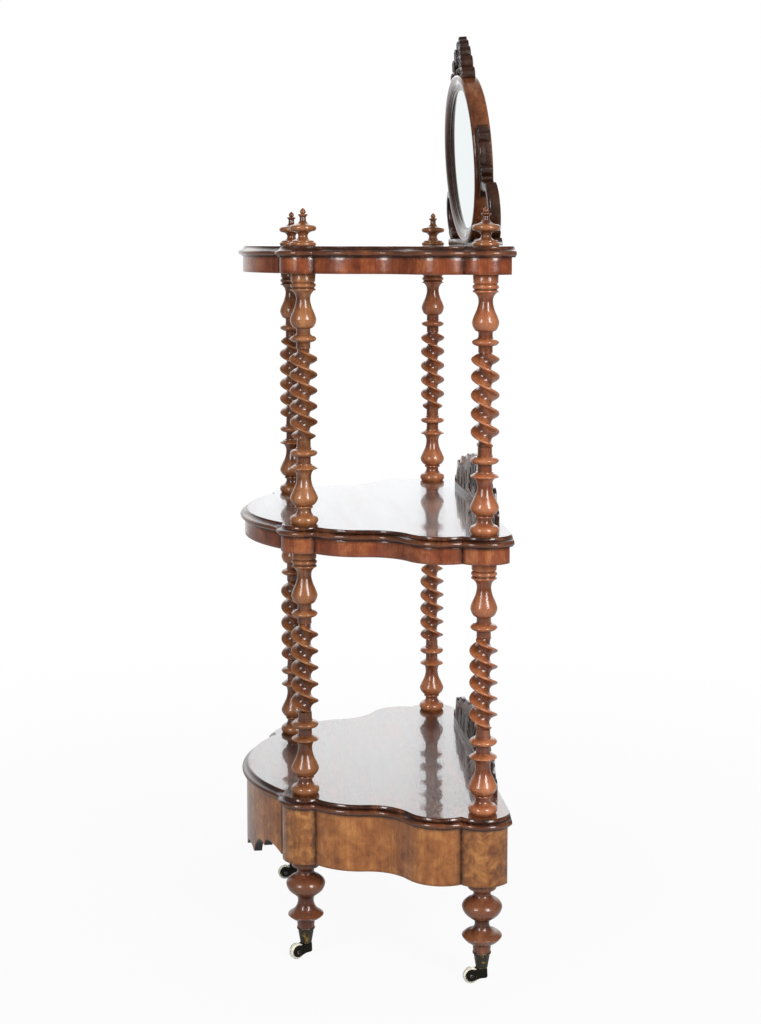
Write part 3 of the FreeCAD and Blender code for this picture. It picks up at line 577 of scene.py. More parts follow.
def metal(name, base, tarnish, roughness, share):
    """Cast metal, tarnished all over and rubbed bright in flecks."""
    material, tree, shader, where = new_material(name)
    cloud = node(tree, "TexNoise", "Fac", Vector=where, Scale=per_mm(9), Detail=5, Roughness=0.65)
    paler_share = node(tree, "ValToRGB", "Color", Fac=cloud, stops=[(share, 0), (share + 0.12, 1)])
    tone = node(tree, "Mix", "Result", Factor=paler_share, A=tarnish, B=base, data_type="RGBA")
    fine = node(tree, "TexNoise", "Fac", Vector=where, Scale=per_mm(1.1), Detail=3)
    rough = node(tree, "MapRange", "Result", Value=fine, To_Min=roughness, To_Max=roughness + 0.2)
    bump = node(tree, "Bump", "Normal", Height=fine, Strength=0.2, Distance=0.08 * MM)
    wire(tree, shader, Base_Color=tone, Roughness=rough, Normal=bump, Metallic=1)
    return material


def glazed_ceramic(name):
    """White-bodied pottery wheel under a clear glaze: ivory, with brown dirt in specks."""
    material, tree, shader, where = new_material(name)
    speck = node(tree, "TexNoise", "Fac", Vector=where, Scale=per_mm(2.4), Detail=6, Roughness=0.7)
    tone = node(tree, "ValToRGB", "Color", Fac=speck,
                stops=[(0.34, "#a99a7c"), (0.46, "#e4dfcd"), (0.62, "#f1eee2")])
    rough = node(tree, "MapRange", "Result", Value=speck, To_Min=0.34, To_Max=0.12)
    wire(tree, shader, Base_Color=tone, Roughness=rough, IOR=1.5)
    return material


def silvered_glass(name):
    """Old mirror plate: bright silvering behind glass, with a faint grey foxing in specks."""
    material, tree, shader, where = new_material(name)
    fox = node(tree, "TexNoise", "Fac", Vector=where, Scale=per_mm(9), Detail=8, Roughness=0.7)
    tone = node(tree, "ValToRGB", "Color", Fac=fox, stops=[(0.24, "#8f8f88"), (0.32, "#f1fafc")])
    wire(tree, shader, Base_Color=tone, Metallic=1, Roughness=0.03)
    return material


def bare_pine(name):
    """Planed pine, never polished: pale, with brown growth lines and no shine."""
    material, tree, shader, where = new_material(name)
    scaled = node(tree, "Mapping", "Vector", Vector=where, Scale=stretch("X", 300, 7))
    growth = node(tree, "TexNoise", "Fac", Vector=scaled, Scale=1, Detail=4, Distortion=0.4)
    tone = node(tree, "ValToRGB", "Color", Fac=growth, stops=[(0.38, "#6d4a2a"), (0.6, "#a88055")])
    wire(tree, shader, Base_Color=tone, Roughness=0.75)
    return material


BOARD_WALNUT = polished_wood("board_walnut", "#1e0c06", "#44200f", "#7c4727", 0.05, waves=0.1,
                             axis="X")
FRIEZE = polished_wood("frieze_walnut", "#461706", "#803e1f", "#b26d3f", 0.16, 0.5, 34)
APRON = polished_wood("apron_walnut", "#683512", "#9a5e2c", "#c3854a", 0.13, 0.5, 22, 0.9)
APRON_BURR = polished_wood("apron_burr", "#582c10", "#8f5829", "#c1874a", 0.13, 0.65, 17, 0.9)
TURNED = polished_wood("turned_walnut", "#501d0d", "#92502e", "#c48158", 0.15, 0.15)
BROWN = polished_wood("brown_turned_walnut", "#3e190b", "#7b4528", "#ad7549", 0.15, 0.15)
FOOT = polished_wood("foot_walnut", "#2c1008", "#653420", "#8f5b3c", 0.18, 0.15)
FRAME_WALNUT = polished_wood("mirror_frame_walnut", "#2a0f07", "#67381f", "#94603a", 0.1, 0.3)
DARK = polished_wood("fretwork_walnut", "#0d0504", "#210e08", "#482a19", 0.16, 0.3, waves=0.7,
                     coat=0.8, axis="X")
BRASS = metal("tarnished_brass", "#c49a4a", "#4a4740", 0.34, 0.55)
BLACKENED = metal("blackened_brass", "#7d6840", "#2b2925", 0.3, 0.6)
STEEL = metal("dark_steel", "#8b8a86", "#3c3a37", 0.36, 0.5)
CERAMIC = glazed_ceramic("glazed_ceramic")
MIRROR = silvered_glass("silvered_glass")
PINE = bare_pine("bare_pine")


# ---- boards

# Edge moulding from the underside up: fraction of the board's thickness, and growth
# outside the frieze line. Fillet, torus nose, cove, quirk.
EDGE = [(0, 2.6), (0.09, 2.6), (0.12, 4.4), (0.15, 5.4), (0.22, 6.6), (0.29, 7.25), (0.36, 7.5),
        (0.43, 7.25), (0.5, 6.6), (0.56, 5.6), (0.6, 4.6), (0.62, 3), (0.655, 1.8), (0.7, 0.9),
        (0.75, -0.1), (0.8, -0.7), (0.86, -1.2), (0.92, -1.5), (0.93, -2.6), (1, -2.6)]


def shelf_board():
    """Bottom board; the others are copies."""
    z = BOARD_Z["bottom"]
    return loft("board", [outline(grow, z + t * BOARD_T) for t, grow in EDGE])


def quirk_dirt_and_shade(x, y, z):
    """Dirt and painted shade in the quirk over the nose, under the upper fillet and below the
    nose.
    """
    t = (z - BOARD_Z["bottom"]) / BOARD_T
    return 0.9 * (0.61 < t < 0.71) + 0.5 * (t < 0.1) + 0.45 * (0.915 < t < 0.94)


def nose_wear_and_highlight(x, y, z):
    """Wear on the nose, where hands and dusters pass, and a painted highlight along it."""
    return 0.9 * (0.15 < (z - BOARD_Z["bottom"]) / BOARD_T < 0.55)


board = shelf_board()
mark(board, "dirt_and_shade", quirk_dirt_and_shade)
mark(board, "wear_and_highlight", nose_wear_and_highlight)
for tier in TIERS:
    copy = copied(board, tier + "_board", (0, 0, BOARD_Z[tier] - BOARD_Z["bottom"]))
    finished(copy, BOARD_WALNUT)
bpy.data.objects.remove(board)


# ---- rails and blocks

VALLEYS = [(side * x, y) for side in (1, -1)
           for x, y in (right_side(0)[i][2] for i in (1, 2, 5))]
RAIL_BEVEL = 0.5
EDGE_ROW = 5  # width of the darkened strip, dirt and painted shade, along a rail's upper and lower edge


def wall(tier, outer, inner, rises=None):
    """Upright rail of a tier between an outer and an inner line; its lower edge rises, or
    hangs, by these heights."""
    top = BOARD_Z[tier]
    rings = []
    for p, q, rise in zip(outer, inner, rises or [0] * len(outer)):
        lo = SKIRT_LOW[tier] + rise
        rings.append([(*p, lo), (*p, lo + EDGE_ROW), (*p, top - EDGE_ROW), (*p, top), (*q, top),
                      (*q, lo)])
    return bevelled(loft("rail", rings), RAIL_BEVEL)


def gather_dirt_and_shade(piece, tier):
    """Dirt and painted shade where blocks meet rails, under the board and along the lower edge."""
    def share(x, y, z):
        gap = min(math.dist((x, y), valley) for valley in VALLEYS)
        return max(0.95 - gap / 8, 0.7 * (z > BOARD_Z[tier] - 2), 0.4 * (z < SKIRT_LOW[tier] + 2))
    mark(piece, "dirt_and_shade", share)


def bow_inside(x, y, z):
    """Points on the bow's inner face, which is painted near-black."""
    return math.dist((x, y), BOW_CENTRE) < BOW_R - 0.4


def side_rail(tier):
    return wall(tier, right_outline(0, 2, 5), right_outline(-RAIL_T, 2, 5))


# Lower edge of the front apron, right of its middle: distance across and height over the
# apron's general underside. The middle pendant hangs lowest.
CENTRE_DROP = 32
SCALLOP = [(0, -CENTRE_DROP), ("arc", (10, -30), (15, -25)),
           ("arc", (28, -17), (46, -17)), ("arc", (57, -18.5), (64, -23)),
           (68, -23), ("arc", (76, -7), (88, 4)), ("arc", (99, 5), (107, 0)),
           ("arc", (110, 8), (118, 13)), ("arc", (133, 10), (150, 0))]


def front_rail(tier):
    """Bowed rail; the apron's lower edge is scalloped."""
    right = traced(SCALLOP) if tier == "bottom" else [(3 * i, 0) for i in range(51)]
    profile = flip(right)[:-1] + right
    outer, inner = ([(x, BOW_CENTRE[1] - math.sqrt(r * r - x * x)) for x, _ in profile]
                    for r in (BOW_R, BOW_R - RAIL_T))
    return wall(tier, outer, inner, [z for _, z in profile])


def back_rail(tier):
    return wall(tier, *([(BACK_RAIL_HALF, y), (-BACK_RAIL_HALF, y)]
                        for y in (FRIEZE_BACK_Y, FRIEZE_BACK_Y - RAIL_T)))


def corner_blocks(tier):
    """Four rounded blocks as one piece."""
    z0, z1 = SKIRT_LOW[tier], BOARD_Z[tier]
    front = [on_circle(FRONT_POST, FRONT_BLOCK_R, 4 * i) for i in range(90)]
    reach = math.degrees(math.asin((FRIEZE_BACK_Y - BLOCK_CENTRE[1]) / BACK_BLOCK_R))
    span = 180 + 2 * reach
    back = [on_circle(BLOCK_CENTRE, BACK_BLOCK_R, 180 - reach + span * i / 80) for i in range(81)]
    heights = (z0, z0 + EDGE_ROW, z1 - EDGE_ROW, z1)
    blocks = []
    for plan in (front, back):
        block = loft("block", [[(*p, z) for p in plan] for z in heights])
        bevelled(block, 0.8, 3)
        blocks += [block, mirrored(block, "block")]
    return joined("corner_blocks", blocks)


for tier in TIERS:
    wood, block_wood, slot = FRIEZE, FRIEZE, "frieze_walnut"
    if tier == "bottom":
        wood, block_wood, slot = APRON, APRON_BURR, "apron_walnut"
    right = side_rail(tier)
    left, front = mirrored(right, "left_rail"), front_rail(tier)
    mark(front, "bow_inside_dark", bow_inside)
    for label, piece in (("right_rail", right), ("left_rail", left), ("front_rail", front),
                         ("back_rail", back_rail(tier)),
                         ("corner_blocks", corner_blocks(tier))):
        piece.name = tier + "_" + label + ".form"
        gather_dirt_and_shade(piece, tier)
        finished(piece, block_wood if label == "corner_blocks" else wood)


# ---- turned pieces

def strand_radius(w, size, half_pitch):
    """Radius from the groove's middle (w = 0) to the rounded strand's crest (w = 1)."""
    rise = TWIST_R - TWIST_ROOT_R
    hollow = 0.87 * half_pitch
    cove = (hollow ** 2 + rise ** 2) / (2 * rise)

    def coved(share):
        return cove - math.sqrt(cove ** 2 - (share * half_pitch) ** 2)
    r = coved(w) if w < 0.75 else rise - (rise - coved(0.75)) * ((1 - w) / 0.25) ** 3
    return TWIST_ROOT_R + size * r


def twist(lead, phase):
    """Two-start left-hand barley twist: narrow rounded strands with hollows between."""
    run = TWIST_HIGH - TWIST_LOW
    widths = (0, 0.16, 0.32, 0.46, 0.58, 0.68, 0.76, 0.82, 0.86, 0.9, 0.94, 0.97, 1)
    rings = []
    for i in range(TWIST_RINGS + 1):
        z = TWIST_LOW + run * i / TWIST_RINGS
        ease = min(1, (run / 2 - abs(z - TWIST_LOW - run / 2)) / TWIST_FADE)
        size = 0.06 + 0.94 * math.sin(ease * math.pi / 2)
        turn = phase - 360 * (z - TWIST_LOW) / lead
        half = [((w - 1) * 90, strand_radius(w, size, lead / 4)) for w in widths]
        strand = half + [(-a, r) for a, r in reversed(half[1:-1])]
        rings.append([(*on_circle((0, 0), r, turn + side + a), z)
                      for side in (0, 180) for a, r in strand])
    return loft("twist", rings)


def column_ends():
    """The turned parts of a column below and above its twist, standing on z = 0."""
    n, r = NECK_R, COLUMN_R
    low_end = lathe("low_end", [
        (0, 0), (19, 0), (19.6, 1), ("arc", (r + 0.5, 6.5), (18.6, 12.5)), (16.8, 13.2),
        ("arc", (n + 1.2, 17), (n + 0.6, 24.6)), (13.3, 24.8), ("arc", (13.8, 26.2), (13.3, 27.6)),
        (n + 1.4, 27.8), ("curve", (17.6, 31.4), (r, 39.6), (18.2, 49), (13, 60),
                          (n + 0.2, 71), (12.3, 79), (16.4, 84.4)),
        (r - 1.3, 84.8), ("arc", (r - 0.5, 86), (r - 1.5, 87.2)),
        ("arc", (15.6, 90.2), (13, 91.4)), (12.8, 92.8), (n, 93), (n - 0.2, 100), (n, 104),
        (13.6, 104.2), ("curve", (18.2, 105.8), (r - 0.5, 109.7), (18.2, 113.4), (13.6, 115.2)),
        (n + 1, 115.4), (n + 1, 117.6), (n, 118.2), (n - 0.2, 126), (n, TWIST_LOW),
        (0, TWIST_LOW)])
    high_end = lathe("high_end", [
        (0, TWIST_HIGH), (n, TWIST_HIGH), (n - 0.2, 272), (n, 277.6), (13.2, 278),
        ("curve", (17.6, 280), (r - 1.3, 283.4), (17.6, 286.8), (13.2, 288.6)), (n + 1.4, 289),
        (n, 291), (n - 0.2, 297), (n + 0.8, 299),
        ("curve", (16.4, 301.8), (r - 1.4, 311.2), (18, 320), (13.6, 330), (n, 341),
         (11.8, 349.6), (16.6, 355.8)),
        (18.4, 356.2), ("arc", (19.3, 357.6), (17.6, 359)), (16.8, 360.4), (17.8, 361.2),
        ("arc", (19.5, 364.2), (17.8, 367)), (16.8, 367.6), (17.2, 368.8), (18.5, 370),
        (18.8, 380.6), (18.2, COLUMN_H), (0, COLUMN_H)])
    return low_end, high_end


def finial():
    return lathe("finial", [
        (0, 0), (18.4, 0), ("arc", (20.3, 3), (18.6, 5.8)), (16.8, 6.2),
        ("arc", (16.4, 8), (14.6, 8.6)), ("curve", (9.4, 11), (7.2, 15), (9, 19.4), (14, 22)),
        (17.4, 22.6), ("arc", (20.6, 27), (17.6, 31.2)), (15, 31.8),
        ("curve", (8.4, 34.4), (5, 38)), (4.7, 43.4), (6.4, 45.4), ("arc", (7.4, 46.8), (6.2, 48)),
        (3.2, 48.4), ("curve", (4.5, 51.2), (3.4, 54.4), (0.9, 56.8)), (0, 57)])


STEM_R = 13.1
FOOT_TOP = low("bottom_corner_blocks").z


def foot(front):
    """Turned foot in place under the apron, down to the castor cup's rim: radius and drop
    from the top. The front feet have a hollow bell where the back feet have a disc."""
    seat = FOOT_TOP - CUP_TOP
    stem = [(0, seat + 1.5), (10.9, seat + 1.5), (10.9, seat), (STEM_R, seat)]
    bell = [(STEM_R + 1, 98.6), ("arc", (21, 96.4), (27.1, 91.4)),
            ("arc", (27.8, 90.4), (26.9, 89.6)),
            ("curve", (20.4, 84.8), (15.4, 79), (12.6, 71.4), (12.8, 64.6), (15.4, 59.2))]
    disc = [(STEM_R + 1, 98.4), ("arc", (23.2, 94.6), (29.5, 87.6)),
            ("arc", (30.3, 86), (29.3, 84.6)),
            ("curve", (24.6, 80.8), (15.8, 77.4), (11.6, 71), (11.4, 64.4), (13.6, 59.8))]
    bulb = [(17.6, 58.6), ("curve", (26.6, 50.6), (30.5, 41.2), (28, 34.8), (22.8, 30.2)),
            (21.4, 29.6), ("curve", (17, 27), (13.4, 22.8), (13.6, 18), (18, 13.4)),
            (21, 12.4), ("arc", (22.4, 7.6), (21, 2.6)), (19.8, 1.8), (19.8, 0), (0, 0)]
    profile = traced(stem + (bell if front else disc) + bulb)
    return lathe("foot", [(r, FOOT_TOP - drop) for r, drop in profile])


def mark_turned(piece, valley, crest, root, reach, low_z, high_z):
    """Paleness on a turned piece, none at the valleys' radius and full at the crests', partly wear
    and partly a painted highlight; and darkening in its hollows between two heights, partly dirt
    that no duster gets out and partly painted shade."""
    def dirt_and_shade_share(x, y, z):
        # Darker in the hollows: dirt and painted shade.
        depth = 1 - (math.hypot(x, y) - root) / reach
        return 0.65 * min(depth, 1) * (low_z < z < high_z)
    mark(piece, "wear_and_highlight", lambda x, y, z: (math.hypot(x, y) - valley) / (crest - valley))
    mark(piece, "dirt_and_shade", dirt_and_shade_share)


ends = column_ends()
one_finial = finial()
mark_turned(one_finial, 5, 19, 4.4, 5, 1, 46)
feet = {"front": foot(True), "back": foot(False)}
for one_foot in feet.values():
    mark_turned(one_foot, 12, 28, 11, 5, CUP_TOP + 25, FOOT_TOP - 1)
for corner, (x, y) in POSTS.items():
    for level, tier, cutting in zip(("lower", "upper"), TIERS, TWISTS[corner]):
        name = level + "_column_" + corner
        parts = [twist(*cutting)] + [duplicate(end, name) for end in ends]
        column = joined(name + ".form", parts)
        mark_turned(column, NECK_R, COLUMN_R, TWIST_ROOT_R, 4.5, 1, COLUMN_H - 1)
        moved(column, (x, y, BOARD_Z[tier] + BOARD_T))
        finished(column, BROWN if "front" in corner else TURNED)
    finished(copied(one_finial, "finial_" + corner, (x, y, TOP_FACE)), BROWN)
    one_foot = feet[corner.split("_")[0]]
    finished(copied(one_foot, "foot_" + corner, (x, y, 0)), FOOT)
for pattern in (*ends, one_finial, *feet.values()):
    bpy.data.objects.remove(pattern)


# ---- castors
# Each is made with its swivel pin on the Z axis, trailing along +X, on the floor.

HORN_TOP = CUP_LOW - 0.3
CHEEK_R = 9.2
CHEEK_T = 2
SLOT_W = WHEEL_W + 0.6
FORK_HALF = SLOT_W / 2 + CHEEK_T


def on_axle(piece):
    """Lays a turned piece on its side, on the wheel's axle."""
    return moved(piece, (WHEEL_TRAIL, 0, WHEEL_R), 90, 0)


def castor_cup():
    rim, pin_end = CUP_TOP - 3, CUP_LOW - 0.28
    return lathe("cup", [
        (0, pin_end), (3, pin_end), (3, CUP_LOW), (8.2, CUP_LOW),
        (8.8, CUP_LOW + 0.5), (12.5, rim - 0.3), (12.7, rim), (13.6, rim + 0.1),
        ("arc", (14.1, rim + 1.5), (13.6, CUP_TOP)), (11.2, CUP_TOP), (11.2, CUP_TOP - 1),
        (0, CUP_TOP - 1)], 48, 10)


def castor_horn():
    """Cast fork: a yoke round the pin that spreads into two cheeks beside the wheel."""
    neck, eye = 7.5, (WHEEL_TRAIL, WHEEL_R + 1.4)
    low_point, out, high_point = (on_circle(eye, CHEEK_R, d) for d in (-112, 0, 104))
    side = traced([(-neck, 10.6), ("arc", (-neck + 1, 8.9), (-neck + 3, 8)), (0.5 * neck, 8),
                   low_point, ("arc", out, high_point),
                   ("arc", (0.5 * (neck + high_point[0]), HORN_TOP - 0.9), (neck - 1.5, HORN_TOP)),
                   (-neck + 0.6, HORN_TOP)], arc_count=12)
    horn = prism("horn", side, FORK_HALF, 2 * FORK_HALF)
    cut(horn, on_axle(drum(WHEEL_R + 1, -SLOT_W / 2, SLOT_W / 2, 48)))
    return bevelled(horn, 0.6, 3)


def castor_axle():
    half = FORK_HALF
    return on_axle(lathe("axle", [
        (0, -half - 1.05), (2.2, -half - 1.05), ("arc", (3.3, -half - 0.7), (3.6, -half - 0.05)),
        (2.1, -half - 0.05), (2.1, half + 0.05), (3.6, half + 0.05),
        ("arc", (3.3, half + 0.7), (2.2, half + 1.05)), (0, half + 1.05)], 32))


def castor_wheel():
    """Glazed wheel with a rounded tread and dished faces."""
    half = WHEEL_W / 2
    hub = 4.4
    points = traced([
        (2.26, -half), (hub, -half), ("arc", (hub + 0.5, -half + 0.6), (hub + 1.4, -half + 0.8)),
        (WHEEL_R - 3.2, -half + 0.8), (WHEEL_R - 2.4, -half),
        ("arc", (WHEEL_R - 0.7, -half + 0.8), (WHEEL_R, -half + 2.8)), (WHEEL_R, 0)])
    points += [(r, -z) for r, z in reversed(points[:-1])]
    return on_axle(lathe("wheel", points + [points[0]]))


for pattern, label, material, slot, body in (
        (castor_cup(), "cup", BRASS, "castor_brass", "stand"),
        (castor_horn(), "horn", BLACKENED, "castor_brass", "castor"),
        (castor_axle(), "axle", STEEL, "castor_steel", "castor"),
        (castor_wheel(), "wheel", CERAMIC, "castor_ceramic", "wheel")):
    for corner, (x, y) in POSTS.items():
        copy = copied(pattern, "castor_" + label + "_" + corner, (x, y, 0), TRAIL_ANGLES[corner])
        finished(copy, material, body if body == "stand" else body + "_" + corner)
    bpy.data.objects.remove(pattern)


# ---- mirror
# Made upright, back on y = 0 and front towards -Y, shelf at z = 0; then leaned.

OVAL_COUNT = 120


def on_oval(grow, degrees):
    """Point (x, z) of the frame's oval, or of one grown by this much."""
    a = math.radians(degrees)
    return ((MIRROR_A + grow) * math.cos(a), MIRROR_Z + (MIRROR_B + grow) * math.sin(a))


def oval(inset, forward):
    rim = [on_oval(-inset, 360 * i / OVAL_COUNT) for i in range(OVAL_COUNT)]
    return [(x, -forward, z) for x, z in rim]


def mirror_frame():
    """Oval frame: side band, cushion front, two steps and a hollow down to the glass; an
    open skin swept round the oval and closed at the rebate behind."""
    d = MIRROR_DEPTH
    section = traced([
        (18.5, GLASS_FRONT), (18.5, 0), (1, 0), (0, 1.2), (0, d - 5),
        ("arc", (1.2, d - 1.4), (4.4, d)), ("arc", (10.4, d - 1.2), (15.6, d - 3.8)),
        (16.6, d - 4.8), (18.2, d - 5), ("arc", (19.8, d - 6.6), (22, d - 7.4)),
        (24, d - 7.6), (24, GLASS_FRONT)])
    ring = loft("frame", [oval(inset, forward) for inset, forward in section], filled=False)
    mode("EDIT")
    bpy.ops.mesh.select_all(action="DESELECT")
    bpy.ops.mesh.select_non_manifold()
    bpy.ops.mesh.bridge_edge_loops()
    mode("OBJECT")
    recalculate(ring)

    # Painted shade: the face darker all round, and darkest in the hollow down to the glass.
    def painted_face_shade(x, y, z):
        inset = MIRROR_A * (1 - math.hypot(x / MIRROR_A, (z - MIRROR_Z) / MIRROR_B))
        return 0.85 * (inset > 15.8) + 0.45 * (2 < inset < 15.8)
    mark(ring, "dirt_and_shade", painted_face_shade)
    return ring


def plate(front, thickness):
    """Oval plate in the frame's rebate."""
    return loft("plate", [oval(PLATE_INSET, forward)
                          for forward in (front - thickness, front - PLATE_GAP)])


def strip(width):
    """Section of a carved scrolled strip: crowned front, flat back."""
    u = width / 2
    back, front = STAND_BACK, STAND_BACK + STAND_T
    return traced([(u, back), (u, front - 4), ("arc", (u * 0.7, front - 0.9), (0, front)),
                   ("arc", (-u * 0.7, front - 0.9), (-u, front - 4)), (-u, back)], arc_count=5)


def roundel(x, z, r, forward, depth):
    """Turned eye of a scroll: a raised rim round a small boss, facing forward."""
    eye = lathe("eye", [
        (0, 0), (r, 0), (r, depth - 1.6), ("arc", (r - 0.5, depth - 0.4), (r - 1.6, depth)),
        ("arc", (r * 0.62, depth - 1), (r * 0.5, depth - 2.2)),
        ("arc", (r * 0.34, depth - 0.6), (0, depth - 0.1))], 32, 5)
    return moved(eye, (x, -forward, z), 90, 0)


def mirror_bracket():
    """Right bracket: a C-scroll on the base rail and an ear that hugs the oval frame."""
    h = BASE_RAIL_H
    centre, mid_r = (178, h + 43), 37.25
    scroll = [on_circle(centre, mid_r, -88 + 155 * i / 40) for i in range(41)]
    ear = [on_oval(5.5, a) for a in range(-26, 19, 2)]
    crescent = [on_oval(6 + 6.5 * math.sin(math.pi * (a + 9) / 19), a) for a in range(-9, 11)]
    half = [(u, max(v, STAND_BACK + 8) + 0.8) for u, v in strip(8)]
    neck = traced([(148, h + 82), ("arc", (172, h + 77.6), (196, h + 75.4))])
    taper = [1.7 - 0.1 * i for i in range(len(neck))]
    parts = [sweep("scroll", scroll, strip(13.5)), sweep("ear", ear, strip(11)),
             sweep("crescent", crescent, half), sweep("neck", neck, strip(13), taper),
             sweep("ankle", [(184, h), (198, h + 3), (208, h + 12)], strip(12))]
    parts += [roundel(x, z, r, STAND_BACK, STAND_T - sunk) for x, z, r, sunk in (
        (176, h + 9.5, 9.5, 0.2), (MIRROR_A + 11.5, 116, 8.5, 0.4),
        (MIRROR_A + 9, 168, 9, 0.3), (MIRROR_A + 14, 103, 5, 0.6))]
    return joined("bracket", parts)


def mirror_base_rail():
    x, h = STAND_X, BASE_RAIL_H
    half = traced([(x, 1.6), (x, 4), ("arc", (x - 1.2, 8), (x - 5, h))])
    hollow = traced([(70, h), ("arc", (0, 6.2), (-70, h))], arc_count=24)
    rail = prism("rail", half + hollow + flip(half), -STAND_BACK, STAND_T)
    return bevelled(rail, 0.8, 2)


def leaf(x, z, r, forward, turn):
    """Carved leaf of the crest: a pointed bead, laid flat and turned to its direction."""
    bead = lathe("leaf", [(0, -1.5 * r), ("arc", (0.62 * r, -0.9 * r), (0.9 * r, 0)),
                          ("arc", (0.7 * r, 0.8 * r), (0, 1.3 * r))], 20, 5)
    moved(bead, (0, 0, 0), turn, 1)
    return moved(bead, (x, -forward, z))


def mirror_crest():
    """Pierced crest on top of the frame: paired lobes, thinner as they rise, with carved
    leaves between them."""
    top = MIRROR_Z + MIRROR_B
    half = traced([(52, top - 6), ("arc", (32, top + 14), (16, top + 40)),
                   ("arc", (9, top + 48), (0, top + 50))])
    arch = [(x, MIRROR_Z + (MIRROR_B + 0.4) * math.sqrt(1 - (x / (MIRROR_A + 0.4)) ** 2))
            for x in (-52.2 + 8.7 * i for i in range(13))]
    plate_piece = prism("crest", half + flip(half)[1:] + arch, -STAND_BACK, 13)
    holes = [(0, 17, 7), (0, 34, 5)]
    holes += [(side * x, z, r) for side in (1, -1)
              for x, z, r in ((17, 13, 5), (37, 14, 4.5), (22, 31, 4))]
    bits = [moved(drum(r, -40, 0, 28), (x, -40, top + z), 90, 0) for x, z, r in holes]
    cut(plate_piece, joined("bits", bits))
    bevelled(plate_piece, 0.7, 2)
    lobes = [(52, -3, 11, 22), (37, 15.5, 12, 20.5), (22.5, 32, 11.5, 18.5),
             (9, 45, 9.8, 16)]
    carving = [roundel(side * x, top + z, r, STAND_BACK - 1.2, t - 1.2)
               for side in (1, -1) for x, z, r, t in lobes]
    carving.append(roundel(0, top + CREST_H - 7.5, 7.5, STAND_BACK - 0.4, 12))
    leaves = [(43, 3, 5.5, 40), (30, 7, 5.5, -20), (28.5, 21, 5, 30),
              (9.5, 24.5, 5, -35), (13.5, 33, 4.5, 20), (9, 6.5, 5.5, -60)]
    carving += [leaf(side * x, top + z, r, STAND_BACK + 13, side * turn)
                for side in (1, -1) for x, z, r, turn in leaves]
    return joined("crest", [plate_piece] + carving)


bracket = mirror_bracket()
left_bracket = mirrored(bracket, "bracket")
for piece, label, material, slot in (
        (mirror_frame(), "mirror_frame", FRAME_WALNUT, "frieze_walnut"),
        (plate(GLASS_FRONT, GLASS_T), "mirror_glass", MIRROR, "mirror"),
        (plate(GLASS_FRONT - GLASS_T, BACKBOARD_T), "mirror_backboard", PINE, "pine_backboard"),
        (mirror_crest(), "mirror_crest", DARK, "dark_walnut"),
        (mirror_base_rail(), "mirror_base_rail", DARK, "dark_walnut"),
        (bracket, "mirror_bracket_right", DARK, "dark_walnut"),
        (left_bracket, "mirror_bracket_left", DARK, "dark_walnut")):
    piece.name = label + ".form"
    finished(leaned(piece), material)


# ---- galleries

def teardrop(p, q, r_p, r_q):
    """Drop-shaped outline from a small round at p to a larger one at q."""
    a = bearing(p, q)
    side = math.degrees(math.acos((r_p - r_q) / math.dist(p, q)))
    return traced([on_circle(p, r_p, a + side),
                   ("arc", on_circle(p, r_p, a + 180), on_circle(p, r_p, a - side)),
                   on_circle(q, r_q, a - side),
                   ("arc", on_circle(q, r_q, a), on_circle(q, r_q, a + side))], arc_count=6)[:-1]


FAN_CENTRE = (0, 9)


def gallery():
    """Pierced back gallery standing on z = 0, its back face on y = 0."""
    h, x, t = GALLERY_H, GALLERY_HALF, GALLERY_T
    half = traced([
        (x, 0), (x, 8), ("arc", (x - 3, 19), (x - 14, 22)),
        ("arc", (x - 20, 29), (x - 24, 40)), ("arc", (x - 33, 51), (x - 46, 49)),
        ("arc", (x - 54, 48), (x - 62, 54)), ("arc", (x - 84, 65), (x - 108, 60)),
        ("arc", (x - 118, 62), (x - 126, 68)), ("arc", (x - 150, 77), (x - 172, 73)),
        ("arc", (x - 190, h - 3), (0, h))])
    panel = prism("gallery", half + flip(half)[1:], 0, t)
    holes = []
    for k in range(-4, 5):
        a = 90 + 18 * k
        holes.append(teardrop(on_circle(FAN_CENTRE, 22, a),
                              on_circle(FAN_CENTRE, 58 - 2.4 * abs(k), a), 2, 6))
    for side in (1, -1):
        for x_low, z_low, x_high, z_high, r in (
                (80, 14, 78, 42, 5.5), (97, 46, 95, 16, 5.5),
                (112, 14, 114, 42, 6), (131, 42, 128, 16, 5),
                (145, 14, 149, 36, 5), (165, 40, 163, 15, 4.5),
                (178, 30, 180, 14, 4), (191, 13, 199, 13, 4)):
            holes.append(teardrop((side * x_low, z_low), (side * x_high, z_high), 1.8, r))
    cut(panel, joined("holes", [prism("hole", hole, 2, t + 4) for hole in holes]))
    return bevelled(panel, 0.9, 2)


fret = gallery()
for tier in ("bottom", "middle"):
    copy = copied(fret, tier + "_gallery", (0, GALLERY_BACK_Y, BOARD_Z[tier] + BOARD_T))
    finished(copy, DARK)
bpy.data.objects.remove(fret)


# ---- floor, light and camera

FLOOR_SIZE = 7


